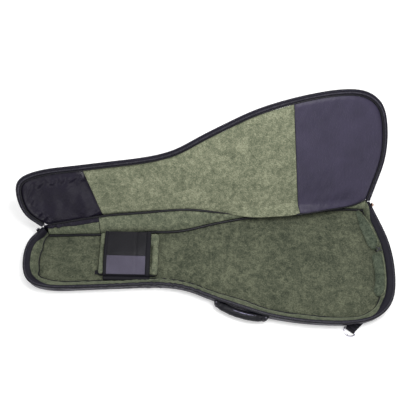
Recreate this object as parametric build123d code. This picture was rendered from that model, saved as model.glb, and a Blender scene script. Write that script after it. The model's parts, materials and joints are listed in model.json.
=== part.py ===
from build123d import *
import os
from math import atan2, degrees

# A padded gig bag for a bass guitar, lying on its back with the front opened.
# +X runs along the neck axis toward the foot (body) end, -Y is the zip side,
# +Y the hinge side, +Z up. The origin lies on the underside, on the neck axis.

# Driving dimensions, in millimetres and degrees.
HEAD_CORNER = Vector(-557, 90)      # where the zip ends at the head, on the hinge line
FOOT_CORNER = Vector(594, 221)      # where the zip ends at the foot, on the hinge line
HEAD_EDGE_DIR = Vector(-0.62, -0.785)   # straight start of the head end's edge
FOOT_EDGE_DIR = Vector(0.324, -0.946)   # straight start of the foot end's edge
HEAD_EDGE = 42
FOOT_EDGE = 62
HINGE_Z = 60                        # height of the zip and of the hinge line
OPEN_ANGLE = 126                    # how far the front stands open as stored

PLATE_Z = 17.5                      # underside to the top of the back panel's foam
LINING_Z = 20                       # top of the back panel's lining
WALL_TOP = 57                       # top of the padded wall, under the zip tape
SKIN = 2.5                          # outer fabric and its laminate
FOAM_IN = 17.5                      # how far in the wall's foam reaches
WALL = 20                           # whole thickness of a padded wall
HINGE_BAND = 22                     # strip along the hinge line that is gusset, not wall

SLIDER_START = 16                   # parked slider's distance from its hinge corner

LID_GAP = 0.5                       # clearance beside the hinge line
LID_LOW = 61                        # closed height of the front's inner face
LID_FOAM_LOW = 64.5
LID_FOAM_HIGH = 79.5
LID_TOP = 82
LIP_IN = 12                         # zip tape width on both rims
PIPING = 5                          # width of the inner piping

POCKET_IN = 48                      # the pocket's margin inside the front's edge
POCKET_HEAD_X = 190
POCKET_RISE = 20
POCKET_ZIP_X = 222
POCKET_ZIP_Y = (-90, 110)
PULL_HANG = -(OPEN_ANGLE + 18)      # turns the pocket's pull to hang straight down when open

CRADLE_X = (-356, -160)             # the neck cradle, along the neck
CRADLE_TOP = 48
NECK_HALF = 33                      # half of the channel the neck lies in
STRAP_X = (-340, -182)
BINDING = 10
STRAP_HINGE_Y = 82

HANDLE_MID = Vector(128, -170)      # handle's middle, on the wall's outer face
HANDLE_DIR = Vector(0.959, -0.283)
HANDLE_HALF = 78
HANDLE_Z = 30
GRIP_R = 11.5
GRIP_END_OUT = 15                   # grip centre's distance from the wall at its ends
GRIP_MID_OUT = 27

BUMPER = (21.5, 58)                 # foot bumper's band, inward from the outer edge
BUMPER_TOP = 52
BUMPER_TUCK_Y = 49
BUMPER_X = (530, 700)               # the foot end of the bag, where the bumper lies
BUMPER_Y = (-172, 250)

RING_WIRE = 2.5
RING_HALF = 20                      # half of the D-ring's straight bar
RING_Z = 4.8
NEAR_RING = (497, -233)
NEAR_RING_TURN = -35
FAR_RING = (501, 258)
FAR_RING_TURN = 215

COIL_OFF_HINGE = 4                  # how near the coils come to the hinge line
FRONT_COIL_OFF_HINGE = 26           # the front's coil stops before the parked sliders
COIL_OUT = 2
SEAM_OUT = 3
FLOOR_CORD = 3.5

FAR = 1500                          # larger than the bag, for cutting half-planes
CURVE_STEPS = 44                    # how finely a curve's parallel is followed

os.makedirs("parts", exist_ok=True)


def unit(vector):
    return vector.normalized()


HINGE_DIR = unit(FOOT_CORNER - HEAD_CORNER)
HINGE_IN = Vector(HINGE_DIR.Y, -HINGE_DIR.X)    # from the hinge line into the bag
HEAD_EDGE_DIR = unit(HEAD_EDGE_DIR)
FOOT_EDGE_DIR = unit(FOOT_EDGE_DIR)
HANDLE_DIR = unit(HANDLE_DIR)


def save(name, shape):
    solids = shape.solids() if hasattr(shape, "solids") else shape
    export_step(Compound(children=list(solids)), f"parts/{name}.step")


def smooth(points, start_dir, end_dir):
    """A curve through points that leaves and arrives along the two directions."""
    return Spline(*points, tangents=[start_dir, end_dir], tangent_scalars=[1, 1])


def zip_curve():
    """The curved stretch of the zip side, from the foot end round to the head end."""
    points = [
        FOOT_CORNER + FOOT_EDGE_DIR * FOOT_EDGE,
        (641, 82),
        (653, 0),
        (651, -70),
        (632, -142),
        (583, -190),
        (510, -211),
        (425, -215),
        (300, -207),
        (210, -192),
        (110, -163),
        (20, -133),
        (-55, -107),
        (-140, -97),
        (-260, -102),
        (-420, -112),
        (-525, -113),
        (-582, -92),
        (-604, -28),
        HEAD_CORNER + HEAD_EDGE_DIR * HEAD_EDGE,
    ]
    return smooth(points, FOOT_EDGE_DIR, -HEAD_EDGE_DIR)


def bulge_curve():
    """The back panel's hinge side, which bulges past the hinge line beside the body."""
    points = [HEAD_CORNER, (-170, 135), (60, 165), (200, 197), (330, 223), (450, 231), FOOT_CORNER]
    return smooth(points, HINGE_DIR, FOOT_EDGE_DIR)


def parallel(curve, distance, turn):
    """Points beside a curve, moved by a distance to its left or, with turn -1, its right."""
    steps = [i / CURVE_STEPS for i in range(CURVE_STEPS + 1)]
    sides = [Vector(-(curve % t).Y, (curve % t).X) * turn for t in steps]
    return [curve @ t + side * distance for t, side in zip(steps, sides)]


def corner(point, dir_a, in_a, dir_b, in_b, distance):
    """Where two lines through a point meet once both have moved inward."""
    cross = dir_a.X * dir_b.Y - dir_a.Y * dir_b.X
    gap = (in_b - in_a) * distance
    along = (gap.X * dir_b.Y - gap.Y * dir_b.X) / cross
    return point + in_a * distance + dir_a * along


def outline(distance, bulged=False):
    """Plan of the bag moved inward by a distance, or outward by a negative one."""
    foot_in = Vector(FOOT_EDGE_DIR.Y, -FOOT_EDGE_DIR.X)
    head_in = Vector(-HEAD_EDGE_DIR.Y, HEAD_EDGE_DIR.X)
    side = parallel(ZIP_CURVE, distance, -1)
    head = corner(HEAD_CORNER, HEAD_EDGE_DIR, head_in, HINGE_DIR, HINGE_IN, distance)
    if bulged:
        far = parallel(BULGE_CURVE, distance, -1)
        foot = far[-1]
        hinge = smooth([head] + far[1:], HINGE_DIR, FOOT_EDGE_DIR)
    else:
        foot = corner(FOOT_CORNER, FOOT_EDGE_DIR, foot_in, HINGE_DIR, HINGE_IN, distance)
        hinge = Line(head, foot)
    curve = smooth(side, FOOT_EDGE_DIR, -HEAD_EDGE_DIR)
    return make_face([Line(foot, side[0]), curve, Line(side[-1], head), hinge])


def half_plane(distance, inward):
    """Everything inward of (or outward of) a line parallel to the hinge line."""
    start = HEAD_CORNER + HINGE_IN * distance
    middle = start + HINGE_IN * (FAR if inward else -FAR)
    turn = degrees(atan2(HINGE_DIR.Y, HINGE_DIR.X))
    return Pos(middle.X, middle.Y) * Rot(0, 0, turn) * Rectangle(4 * FAR, 2 * FAR)


def slab(plan, low, high):
    return Pos(0, 0, low) * extrude(plan, high - low)


def box(x, y, z):
    """A box from its low and high values along each axis."""
    size = (x[1] - x[0], y[1] - y[0], z[1] - z[0])
    return Pos((x[0] + x[1]) / 2, (y[0] + y[1]) / 2, (z[0] + z[1]) / 2) * Box(*size)


def frame_at(point, along, height):
    """Local frame on a vertical face: X along it, Y out of it to the left, Z up."""
    origin = (point.X, point.Y, height)
    return Location(Plane(origin, x_dir=(along.X, along.Y, 0), z_dir=(0, 0, 1)))


ZIP_CURVE = zip_curve()
BULGE_CURVE = bulge_curve()
RIM = outline(0)
BACK = outline(0, bulged=True)
INSETS = {d: outline(d) for d in (SKIN, LIP_IN, LIP_IN + PIPING, FOAM_IN, WALL, WALL + FLOOR_CORD)}
PROUD = outline(-COIL_OUT)
SEAM = outline(-SEAM_OUT)
OFF_HINGE = half_plane(HINGE_BAND, True)
ON_HINGE = half_plane(HINGE_BAND, False)
CLEAR = half_plane(LID_GAP, True)


def back_panel():
    core = outline(SKIN, bulged=True)
    shell = slab(BACK, 0, PLATE_Z) - slab(core, SKIN, PLATE_Z)
    save("back_panel_shell", shell)
    save("back_panel_foam", slab(core, SKIN, PLATE_Z))
    save("back_panel_lining", slab(INSETS[WALL], PLATE_Z, LINING_Z))
    seam = outline(-SEAM_OUT, bulged=True) - BACK
    save("back_seam_piping", slab(seam, 2, 7))
    floor_cord = (INSETS[WALL] - INSETS[WALL + FLOOR_CORD]) & OFF_HINGE
    save("floor_seam_cord", slab(floor_cord, LINING_Z, LINING_Z + 3))


def padded_wall():
    """Three nested layers of wall, with the hinge-side strip as its own pieces."""
    layers = {
        "shell": RIM - INSETS[SKIN],
        "foam": INSETS[SKIN] - INSETS[FOAM_IN],
        "lining": INSETS[FOAM_IN] - INSETS[WALL],
    }
    for layer, ring in layers.items():
        save(f"wall_{layer}", slab(ring & OFF_HINGE, PLATE_Z, WALL_TOP))
        save(f"hinge_gusset_{layer}", slab(ring & ON_HINGE & CLEAR, PLATE_Z, WALL_TOP))


def tray_zip():
    tape = (RIM - INSETS[LIP_IN]) & OFF_HINGE
    save("tray_zip_tape", slab(tape, WALL_TOP, WALL_TOP + 1.5))
    coil = (PROUD - RIM) & half_plane(COIL_OFF_HINGE, True)
    save("tray_zip_coil", slab(coil, HINGE_Z - 4, HINGE_Z - 0.3))


def foot_bumper():
    band = (outline(BUMPER[0]) - outline(BUMPER[1])) & OFF_HINGE
    pad = slab(band, LINING_Z + 3.2, BUMPER_TOP)
    upper = pad & box(BUMPER_X, (BUMPER_TUCK_Y + 7, BUMPER_Y[1]), (0, 100))
    lower = pad & box(BUMPER_X, (BUMPER_Y[0], BUMPER_TUCK_Y - 7), (0, 100))
    tuck_gap = box(BUMPER_X, (BUMPER_TUCK_Y - 6.7, BUMPER_TUCK_Y + 6.7), (30, 46))
    save("foot_bumper_upper", upper)
    save("foot_bumper_lower", lower)
    save("foot_bumper_tuck", pad & tuck_gap)


def neck_cradle():
    """Two foam blocks on a base plate, with the neck's channel between them."""
    base = box(CRADLE_X, (-65, STRAP_HINGE_Y), (LINING_Z, LINING_Z + 8))
    far = box(CRADLE_X, (NECK_HALF, STRAP_HINGE_Y), (LINING_Z + 8, CRADLE_TOP))
    near = box(CRADLE_X, (-65, -NECK_HALF), (LINING_Z + 8, 34))
    save("neck_cradle_base", base)
    save("neck_cradle_far_block", fillet(far.edges().filter_by(Axis.X).group_by(Axis.Z)[-1], 6))
    save("neck_cradle_near_block", near)
    patch_x = (STRAP_X[0] + 20, STRAP_X[1] - 20)
    save("neck_loop_patch", box(patch_x, (-66.5, -65), (24, 33)))
    save("cradle_anchor_tab", box((-366, -356), (-64, -50), (LINING_Z, LINING_Z + 4)))


def neck_strap():
    """The flap over the neck: flat, then sloping down to its hook patch."""
    points = [
        (STRAP_HINGE_Y, 55), (-5, 57.5), (-72, 40), (-72, 24),
        (-69, 24), (-69, 35), (-5, 53.5), (STRAP_HINGE_Y, 51),
    ]
    profile = Plane.YZ * make_face(Polyline(*points, close=True))

    def strip(low, high):
        return Pos(low, 0, 0) * extrude(profile, high - low)

    save("neck_strap_panel", strip(STRAP_X[0] + BINDING, STRAP_X[1] - BINDING))
    bindings = [strip(STRAP_X[0], STRAP_X[0] + BINDING), strip(STRAP_X[1] - BINDING, STRAP_X[1])]
    save("neck_strap_bindings", Compound(children=[b.solid() for b in bindings]))
    patch_x = (STRAP_X[0] + 20, STRAP_X[1] - 20)
    save("neck_hook_patch", box(patch_x, (-69, -67.2), (25, 33)))


def handle():
    """A bowed padded grip on a webbing core, turning between two sewn tabs."""
    place = frame_at(HANDLE_MID, -HANDLE_DIR, HANDLE_Z)
    reach = HANDLE_HALF - 0.4
    ends = [(-reach, GRIP_END_OUT), (0, GRIP_MID_OUT), (reach, GRIP_END_OUT)]
    path = ThreePointArc(*ends)
    start = Plane(origin=path @ 0, z_dir=path % 0)
    sleeve = sweep(start * Circle(GRIP_R), path)
    core = sweep(start * Circle(4), path)
    trim = Box(2 * reach, 200, 200)
    sleeve = sleeve & trim
    core = core & trim
    save("handle_grip", place * (sleeve - core))
    save("handle_webbing_core", place * core)
    tab_plan = make_face(Polyline(
        (HANDLE_HALF, -8), (HANDLE_HALF, 22), (HANDLE_HALF + 9, 21), (HANDLE_HALF + 32, 5),
        (HANDLE_HALF + 32, -8), close=True,
    ))
    tab = Pos(0, 0, -13) * extrude(tab_plan, 26)
    both = [place * tab, place * mirror(tab, Plane.YZ)]
    bag = slab(RIM, 0, 100)
    save("handle_tabs", Compound(children=[(t - bag).solid() for t in both]))
    rivet = Pos(HANDLE_HALF + 22, 12.6, 0) * Rot(0, 0, -34.8) * Rot(-90, 0, 0) * Cylinder(4, 2.4)
    rivets = [place * rivet, place * mirror(rivet, Plane.YZ)]
    save("handle_rivets", Compound(children=[(r - t).solid() for r, t in zip(rivets, both)]))


def strap_ring(name, place):
    """A D-ring lying flat in the folded end of its webbing tab."""
    wire, half = RING_WIRE, RING_HALF
    arc = Torus(half, wire) & Pos(0, -half, 0) * Box(4 * half, 2 * half, 4 * wire)
    bar = Rot(0, 90, 0) * Cylinder(wire, 2 * half)
    knuckles = Pos(half, 0, 0) * Sphere(wire) + Pos(-half, 0, 0) * Sphere(wire)
    save(f"{name}_ring", place * (arc + bar + knuckles))
    fold = Rot(0, 90, 0) * (Cylinder(4.6, 32) - Cylinder(2.7, 40))
    blade_plan = make_face(Polyline((-16, 2.8), (16, 2.8), (26, 46), (-26, 46), close=True))
    blade = Pos(0, 0, -1.6) * extrude(blade_plan, 3.2)
    bag = slab(outline(-3.2, bulged=True), -10, 100)
    eye = Rot(0, 90, 0) * Cylinder(2.7, 60)
    save(f"{name}_tab", place * (fold + blade - eye) - bag)


def strap_rings():
    near = Pos(*NEAR_RING, RING_Z) * Rot(0, 0, NEAR_RING_TURN)
    far = Pos(*FAR_RING, RING_Z) * Rot(0, 0, FAR_RING_TURN)
    strap_ring("near_strap", near)
    strap_ring("far_strap", far)


def webbing_stub():
    """The short folded tab sewn into the foot end."""
    bag = slab(RIM, 0, 100)
    save("foot_webbing_tab", box((640, 662), (-24, -6), (34, 46)) - bag)


def zip_slider(name, corner, along, face_dir):
    """A slider outside the rim, and the pull that hangs from its bridge."""
    place = frame_at(corner + along * SLIDER_START, face_dir, HINGE_Z)
    plate = box((-7, 7), (2.5, 4.5), (-6.5, 5))
    flange = box((-5, 5), (0.5, 2.5), (-6.5, -4.5))
    ear = box((4, 5.5), (4.5, 8), (-2.5, 2))
    save(f"{name}_slider", place * (plate + flange + ear + mirror(ear, Plane.YZ)))
    pin = Pos(0, 6.2, 0) * Rot(0, 90, 0) * Cylinder(1, 7.4)
    tag = box((-3, 3), (5.2, 7.2), (-30, 0))
    hole = Pos(0, 6.2, -25) * Rot(90, 0, 0) * Cylinder(1.6, 10)
    save(f"{name}_pull", place * (pin + tag - hole))


def opened(shape):
    """Turn a piece of the front from closed to its stored, open place."""
    axis = Axis((HEAD_CORNER.X, HEAD_CORNER.Y, HINGE_Z), (-HINGE_DIR.X, -HINGE_DIR.Y, 0))
    return shape.rotate(axis, OPEN_ANGLE)


def front():
    """The front as a flat padded panel, built closed and then opened."""
    panel = RIM & CLEAR
    lip = INSETS[LIP_IN] & CLEAR
    inner = INSETS[LIP_IN + PIPING]
    core = INSETS[SKIN] & CLEAR
    foam = slab(core, LID_FOAM_LOW, LID_FOAM_HIGH)
    shell = slab(panel, LID_LOW + 1.5, LID_TOP) - foam - slab(lip, 0, LID_FOAM_LOW)
    save("front_shell", opened(shell))
    save("front_foam", opened(foam))
    save("front_inner_piping", opened(slab(lip - inner, LID_LOW, LID_FOAM_LOW)))
    save("front_zip_tape", opened(slab((panel - lip) & OFF_HINGE, LID_LOW, LID_LOW + 1.5)))
    coil = (PROUD - RIM) & half_plane(FRONT_COIL_OFF_HINGE, True)
    save("front_zip_coil", opened(slab(coil, HINGE_Z + 0.3, HINGE_Z + 4)))
    save("front_seam_piping", opened(slab((SEAM - RIM) & CLEAR, LID_TOP - 6, LID_TOP - 1)))
    head_cut = Pos(-FAR - 360, 0) * Rot(0, 0, 9.5) * Rectangle(2 * FAR, 2 * FAR)
    foot_cut = Pos(FAR + 338, 0) * Rectangle(2 * FAR, 2 * FAR)
    linings = {
        "head": inner & head_cut,
        "centre": inner - head_cut - foot_cut,
        "foot": inner & foot_cut,
    }
    for name, plan in linings.items():
        save(f"front_lining_{name}", opened(slab(plan, LID_LOW + 1, LID_FOAM_LOW)))


def front_pocket():
    """The flat accessory pocket on the outside of the front, with its own zip."""
    plan = outline(POCKET_IN) & Pos(FAR + POCKET_HEAD_X, 0) * Rectangle(2 * FAR, 2 * FAR)
    top = LID_TOP + POCKET_RISE
    body = slab(plan, LID_TOP, top)
    save("pocket_panel", opened(chamfer(body.faces().sort_by(Axis.Z)[-1].edges(), 4)))
    x, y = POCKET_ZIP_X, POCKET_ZIP_Y
    coil = box((x - 3, x + 3), y, (top, top + 2))
    wide = box((x - 13, x + 13), (y[0] - 6, y[1] + 6), (top, top + 1))
    save("pocket_zip_tape", opened(wide - coil))
    save("pocket_zip_coil", opened(coil))
    start = y[0] + 12
    crown = box((x - 5.5, x + 5.5), (start - 7, start + 7), (top + 2.4, top + 4.2))
    ear = box((x + 3.8, x + 5.3), (start - 2, start + 2), (top + 4.2, top + 7.6))
    ears = ear + Pos(2 * x, 0, 0) * mirror(ear, Plane.YZ)
    save("pocket_slider", opened(crown + ears))
    pin = Pos(x, start, top + 5.9) * Rot(0, 90, 0) * Cylinder(1, 7)
    tag = Pos(x, start, top + 5.9) * Rot(PULL_HANG, 0, 0) * box((-2.8, 2.8), (-28, 0), (-1, 1))
    save("pocket_pull", opened(pin + tag))


back_panel()
padded_wall()
tray_zip()
foot_bumper()
neck_cradle()
neck_strap()
handle()
strap_rings()
webbing_stub()
zip_slider("foot_zip", FOOT_CORNER, FOOT_EDGE_DIR, FOOT_EDGE_DIR)
zip_slider("head_zip", HEAD_CORNER, HEAD_EDGE_DIR, -HEAD_EDGE_DIR)
front()
front_pocket()
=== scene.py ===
"""A padded gig bag lying open on its back: the looks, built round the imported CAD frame.

Lengths are in millimetres until add_piece and the soft makers turn them into metres. The front is
drawn closed, as plan points with a height above the hinge line, and opened() stands it up.
"""
import json
from math import asin, cos, inf, pi, radians, sin, sqrt

import bmesh
import bpy
import numpy as np
from mathutils import Matrix, Vector
from numpy.linalg import norm, solve

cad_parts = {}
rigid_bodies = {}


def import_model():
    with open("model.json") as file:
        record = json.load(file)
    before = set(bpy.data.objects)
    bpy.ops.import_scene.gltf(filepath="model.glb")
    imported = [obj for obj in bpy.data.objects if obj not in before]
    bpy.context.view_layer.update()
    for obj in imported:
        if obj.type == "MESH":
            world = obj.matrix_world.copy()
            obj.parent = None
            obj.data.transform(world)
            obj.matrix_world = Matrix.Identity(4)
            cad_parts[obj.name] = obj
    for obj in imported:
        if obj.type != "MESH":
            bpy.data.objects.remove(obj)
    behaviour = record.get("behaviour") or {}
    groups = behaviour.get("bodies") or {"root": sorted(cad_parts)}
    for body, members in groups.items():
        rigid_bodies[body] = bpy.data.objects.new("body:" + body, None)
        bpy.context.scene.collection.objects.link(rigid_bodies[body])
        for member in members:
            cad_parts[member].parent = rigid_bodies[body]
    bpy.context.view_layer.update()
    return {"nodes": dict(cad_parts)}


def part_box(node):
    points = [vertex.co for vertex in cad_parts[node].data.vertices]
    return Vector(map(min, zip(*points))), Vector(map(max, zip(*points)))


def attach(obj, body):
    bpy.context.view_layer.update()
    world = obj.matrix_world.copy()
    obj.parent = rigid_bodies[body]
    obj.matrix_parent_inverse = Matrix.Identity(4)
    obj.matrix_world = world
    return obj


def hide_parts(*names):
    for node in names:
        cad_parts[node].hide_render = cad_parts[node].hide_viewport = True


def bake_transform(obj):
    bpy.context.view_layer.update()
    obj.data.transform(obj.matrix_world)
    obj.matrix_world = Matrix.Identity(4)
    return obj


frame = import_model()

MM = 0.001

# ---- camera
CAM_ELEVATION, CAM_AZIMUTH, CAM_ROLL = (radians(a) for a in (66.32, -5.02, 6.10))
CAM_TARGET = Vector((0.01326, 0.18566, 0.040))
CAM_DISTANCE = 1.98851
CAM_LENS = 48.145
SENSOR = 36.0


def make_camera():
    e, a = CAM_ELEVATION, CAM_AZIMUTH
    back = Vector((sin(a) * cos(e), -cos(a) * cos(e), sin(e)))
    right = (-back).cross(Vector((0, 0, 1))).normalized()
    up = right.cross(-back)
    c, s = cos(CAM_ROLL), sin(CAM_ROLL)
    right, up = right * c + up * s, up * c - right * s
    data = bpy.data.cameras.new("camera")
    data.lens, data.sensor_width = CAM_LENS, SENSOR
    data.clip_start, data.clip_end = 0.01, 50
    camera = bpy.data.objects.new("camera", data)
    place = CAM_TARGET + back * CAM_DISTANCE
    camera.matrix_world = Matrix(
        [[right[i], up[i], back[i], place[i]] for i in range(3)] + [[0, 0, 0, 1]]
    )
    bpy.context.scene.collection.objects.link(camera)
    bpy.context.scene.camera = camera


make_camera()


# ---- materials
def lin(rgb):
    """Linear colour of an sRGB one given 0 to 255."""
    return tuple(((c / 255 + 0.055) / 1.055) ** 2.4 if c > 10 else c / 255 / 12.92 for c in rgb)


class Surface:
    """A material being made: its node tree, its shader and the coordinates it is drawn in."""

    def __init__(self, name, roughness, sheen=0.0, sheen_rough=0.5, metallic=0.0,
                 tint=(255, 255, 255), specular=0.5):
        self.material = bpy.data.materials.new(name)
        self.material.use_nodes = True
        self.tree = self.material.node_tree
        self.shader = self.tree.nodes["Principled BSDF"]
        self.shader.inputs["Roughness"].default_value = roughness
        self.shader.inputs["Metallic"].default_value = metallic
        self.shader.inputs["Sheen Weight"].default_value = sheen
        self.shader.inputs["Sheen Roughness"].default_value = sheen_rough
        self.shader.inputs["Sheen Tint"].default_value = (*lin(tint), 1)
        self.shader.inputs["Specular IOR Level"].default_value = specular
        self.at = self.tree.nodes.new("ShaderNodeTexCoord").outputs["Object"]

    def node(self, kind, at, **values):
        """A node that reads coordinates, with its other inputs set by name."""
        node = self.tree.nodes.new("ShaderNode" + kind)
        for name, value in values.items():
            node.inputs[name].default_value = value
        self.tree.links.new(at, node.inputs["Vector"])
        return node

    def noise(self, scale, detail, rough=0.55, at=None):
        values = {"Scale": scale, "Detail": detail, "Roughness": rough}
        return self.node("TexNoise", at or self.at, **values).outputs["Fac"]

    def wave(self, at, scale, direction, distortion):
        node = self.node("TexWave", at, Scale=scale, Distortion=distortion)
        node.bands_direction = direction
        return node.outputs["Fac"]

    def turned(self, angle, scale=(1, 1, 1)):
        return self.node("Mapping", self.at, Rotation=angle, Scale=scale).outputs[0]

    def maths(self, operation, a, b):
        node = self.tree.nodes.new("ShaderNodeMath")
        node.operation = operation
        self.tree.links.new(a, node.inputs[0])
        if isinstance(b, (int, float)):
            node.inputs[1].default_value = b
        else:
            self.tree.links.new(b, node.inputs[1])
        return node.outputs[0]

    def sum(self, *parts):
        """The sum of values, each given with its weight."""
        total = None
        for value, weight in parts:
            value = self.maths("MULTIPLY", value, weight)
            total = value if total is None else self.maths("ADD", total, value)
        return total

    def paint(self, value, *stops):
        """The base colour, along a ramp of (position, colour) stops."""
        node = self.tree.nodes.new("ShaderNodeValToRGB")
        elements = node.color_ramp.elements
        while len(elements) < len(stops):
            elements.new(0.5)
        for element, (where, colour) in zip(elements, stops):
            element.position = where
            element.color = (*lin(colour), 1)
        self.tree.links.new(value, node.inputs["Fac"])
        self.tree.links.new(node.outputs["Color"], self.shader.inputs["Base Color"])

    def bump(self, height, strength, distance):
        node = self.tree.nodes.new("ShaderNodeBump")
        node.inputs["Strength"].default_value = strength
        node.inputs["Distance"].default_value = distance
        self.tree.links.new(height, node.inputs["Height"])
        self.tree.links.new(node.outputs[0], self.shader.inputs["Normal"])


def plush(name, dark, mid, light):
    """Short brushed pile: mottled where it lies in different directions."""
    s = Surface(name, 0.95, 0.35, 0.45, tint=(190, 200, 170), specular=0.15)
    patches = s.sum((s.noise(70, 6, 0.72), 0.7), (s.noise(17, 3, 0.6), 0.3))
    tufts = s.noise(250, 4, 0.7, s.turned((0, 0, 0.5), (1, 1.7, 1)))
    fibres = s.noise(1300, 2, 0.7)
    s.paint(s.sum((patches, 0.46), (tufts, 0.38), (fibres, 0.16)),
            (0.415, dark), (0.5, mid), (0.585, light))
    s.bump(s.sum((patches, 0.6), (fibres, 1)), 0.6, 0.0016)
    return s.material


def nylon(name, base, light, weave=2600, roughness=0.62, sheen=0.25, strength=0.25):
    """Plain-woven nylon: two crossed threads, a faint purple-grey sheen and slight wear."""
    s = Surface(name, roughness, sheen, 0.35, tint=(150, 140, 190), specular=0.2)
    slanted = s.turned((0.62, 0.55, 0.11))
    scale = weave / 6.28
    cloth = s.maths("MULTIPLY", s.wave(slanted, scale, "X", 0.6), s.wave(slanted, scale, "Y", 0.6))
    s.paint(s.sum((cloth, 0.45), (s.noise(14, 4, 0.6), 0.55)), (0.2, base), (0.75, light))
    s.bump(s.sum((cloth, 1), (s.noise(60, 3, 0.5), 1.5)), strength, 0.0006)
    return s.material


def webbing(name, base, light, angle=0.0):
    """Ribbed webbing or binding tape, its ribs across or along the piece."""
    s = Surface(name, 0.62, 0.04, 0.4, tint=(150, 145, 180), specular=0.2)
    at = s.turned((0, 0, angle))
    cloth = s.sum((s.wave(at, 110, "X", 0.4), 0.6), (s.wave(at, 330, "Y", 0.8), 0.4))
    s.paint(s.sum((cloth, 0.5), (s.noise(40, 3, at=at), 0.5)), (0.2, base), (0.8, light))
    s.bump(cloth, 0.5, 0.0007)
    return s.material


def metal(name, base, light, roughness):
    s = Surface(name, roughness, metallic=1.0)
    s.paint(s.noise(260, 3), (0.3, base), (0.7, light))
    s.bump(s.noise(500, 2, at=s.turned((0, 0, 0.4), (1, 9, 1))), 0.12, 0.0003)
    return s.material


def rubber(name, base, light, roughness):
    s = Surface(name, roughness, specular=0.25)
    s.paint(s.noise(120, 3), (0.3, base), (0.7, light))
    s.bump(s.noise(1400, 2), 0.3, 0.0003)
    return s.material


def loop_cloth(name, base, light):
    """Hook-and-loop tape: dense small tufts."""
    s = Surface(name, 0.9, 0.3, 0.5, specular=0.2)
    tufts = s.node("TexVoronoi", s.at, Scale=700).outputs[0]
    s.paint(tufts, (0.1, light), (0.8, base))
    s.bump(tufts, 0.6, 0.001)
    return s.material


# Each look: the slot its pieces usually have, and its material.
LOOKS = {
    "green": ("plush_green", plush("plush_green", (72, 78, 62), (107, 111, 91), (144, 146, 122))),
    # The copies below are the lid's green plush darkened step by step as painted shade: least for
    # the hinge band and cradle blocks, then the tray's wall, then its floor and the cradle base,
    # most for the foot bumper.
    "green_wall": ("plush_green",
                   plush("plush_green_painted_light_shade", (58, 65, 53), (92, 97, 80), (123, 127, 105))),
    "green_painted_deep_shade": ("plush_green",
                    plush("plush_green_painted_deep_shade", (44, 49, 40), (73, 77, 63), (102, 105, 86))),
    "green_painted_medium_shade": ("plush_green",
                   plush("plush_green_painted_medium_shade", (48, 54, 44), (80, 85, 70), (110, 114, 94))),
    "green_painted_deepest_shade": ("plush_green",
                     plush("plush_green_painted_deepest_shade", (40, 48, 40), (66, 74, 62), (94, 101, 86))),
    "nylon_foot": ("nylon_purple", nylon("nylon_foot_lining", (45, 42, 57), (62, 57, 77),
                                         2100, roughness=0.46, sheen=0.1, strength=0.1)),
    "nylon_head": ("nylon_black", nylon("nylon_head_lining", (17, 14, 25), (33, 29, 44),
                                        roughness=0.36, sheen=0.05, strength=0.1)),
    "shell": ("shell_black", nylon("nylon_shell", (11, 9, 19), (29, 25, 44),
                                   2000, roughness=0.42, sheen=0.06, strength=0.4)),
    "piping": ("piping_black", rubber("piping_black", (9, 9, 13), (20, 19, 26), 0.45)),
    "tape": ("zip_tape", webbing("zip_tape", (10, 9, 16), (27, 25, 37), 0.1)),
    "coil": ("zip_coil", rubber("zip_coil", (44, 43, 50), (74, 72, 82), 0.35)),
    "strap": ("strap_black", nylon("strap_black", (8, 8, 12), (20, 18, 26),
                                   1800, roughness=0.4, sheen=0.03)),
    # The same black strap fabric drawn lighter grey for the strap's turned-down face: painted sheen
    # where that face meets the light.
    "strap_skirt": ("strap_black", nylon("strap_painted_sheen_grey", (62, 59, 72), (86, 82, 98),
                                         1500, roughness=0.55, sheen=0.3)),
    "binding": ("piping_black", webbing("binding_black", (8, 8, 12), (20, 19, 27))),
    "webbing": ("webbing", webbing("webbing_black", (9, 9, 13), (24, 23, 31), 0.6)),
    "grip": ("grip", nylon("grip_mesh", (10, 10, 14), (26, 25, 33),
                           620, roughness=0.42, sheen=0.03, strength=0.8)),
    # Far lighter and glossier than the black grip: a painted highlight along the grip's top edge.
    "painted_highlight": ("grip", rubber("grip_painted_highlight", (96, 92, 116), (150, 146, 176), 0.28)),
    "loop": ("hook_loop", loop_cloth("hook_and_loop", (9, 9, 12), (26, 25, 31))),
    "steel": ("ring_metal", metal("ring_steel", (160, 157, 168), (214, 212, 222), 0.24)),
    "bronze": ("slider_metal", metal("slider_bronze", (120, 92, 82), (186, 156, 142), 0.32)),
    "gunmetal": ("slider_metal", metal("slider_dark", (60, 58, 66), (110, 108, 118), 0.35)),
    "stitch": ("webbing", nylon("stitch_thread", (40, 38, 48), (70, 67, 80), roughness=0.7)),
}


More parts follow.
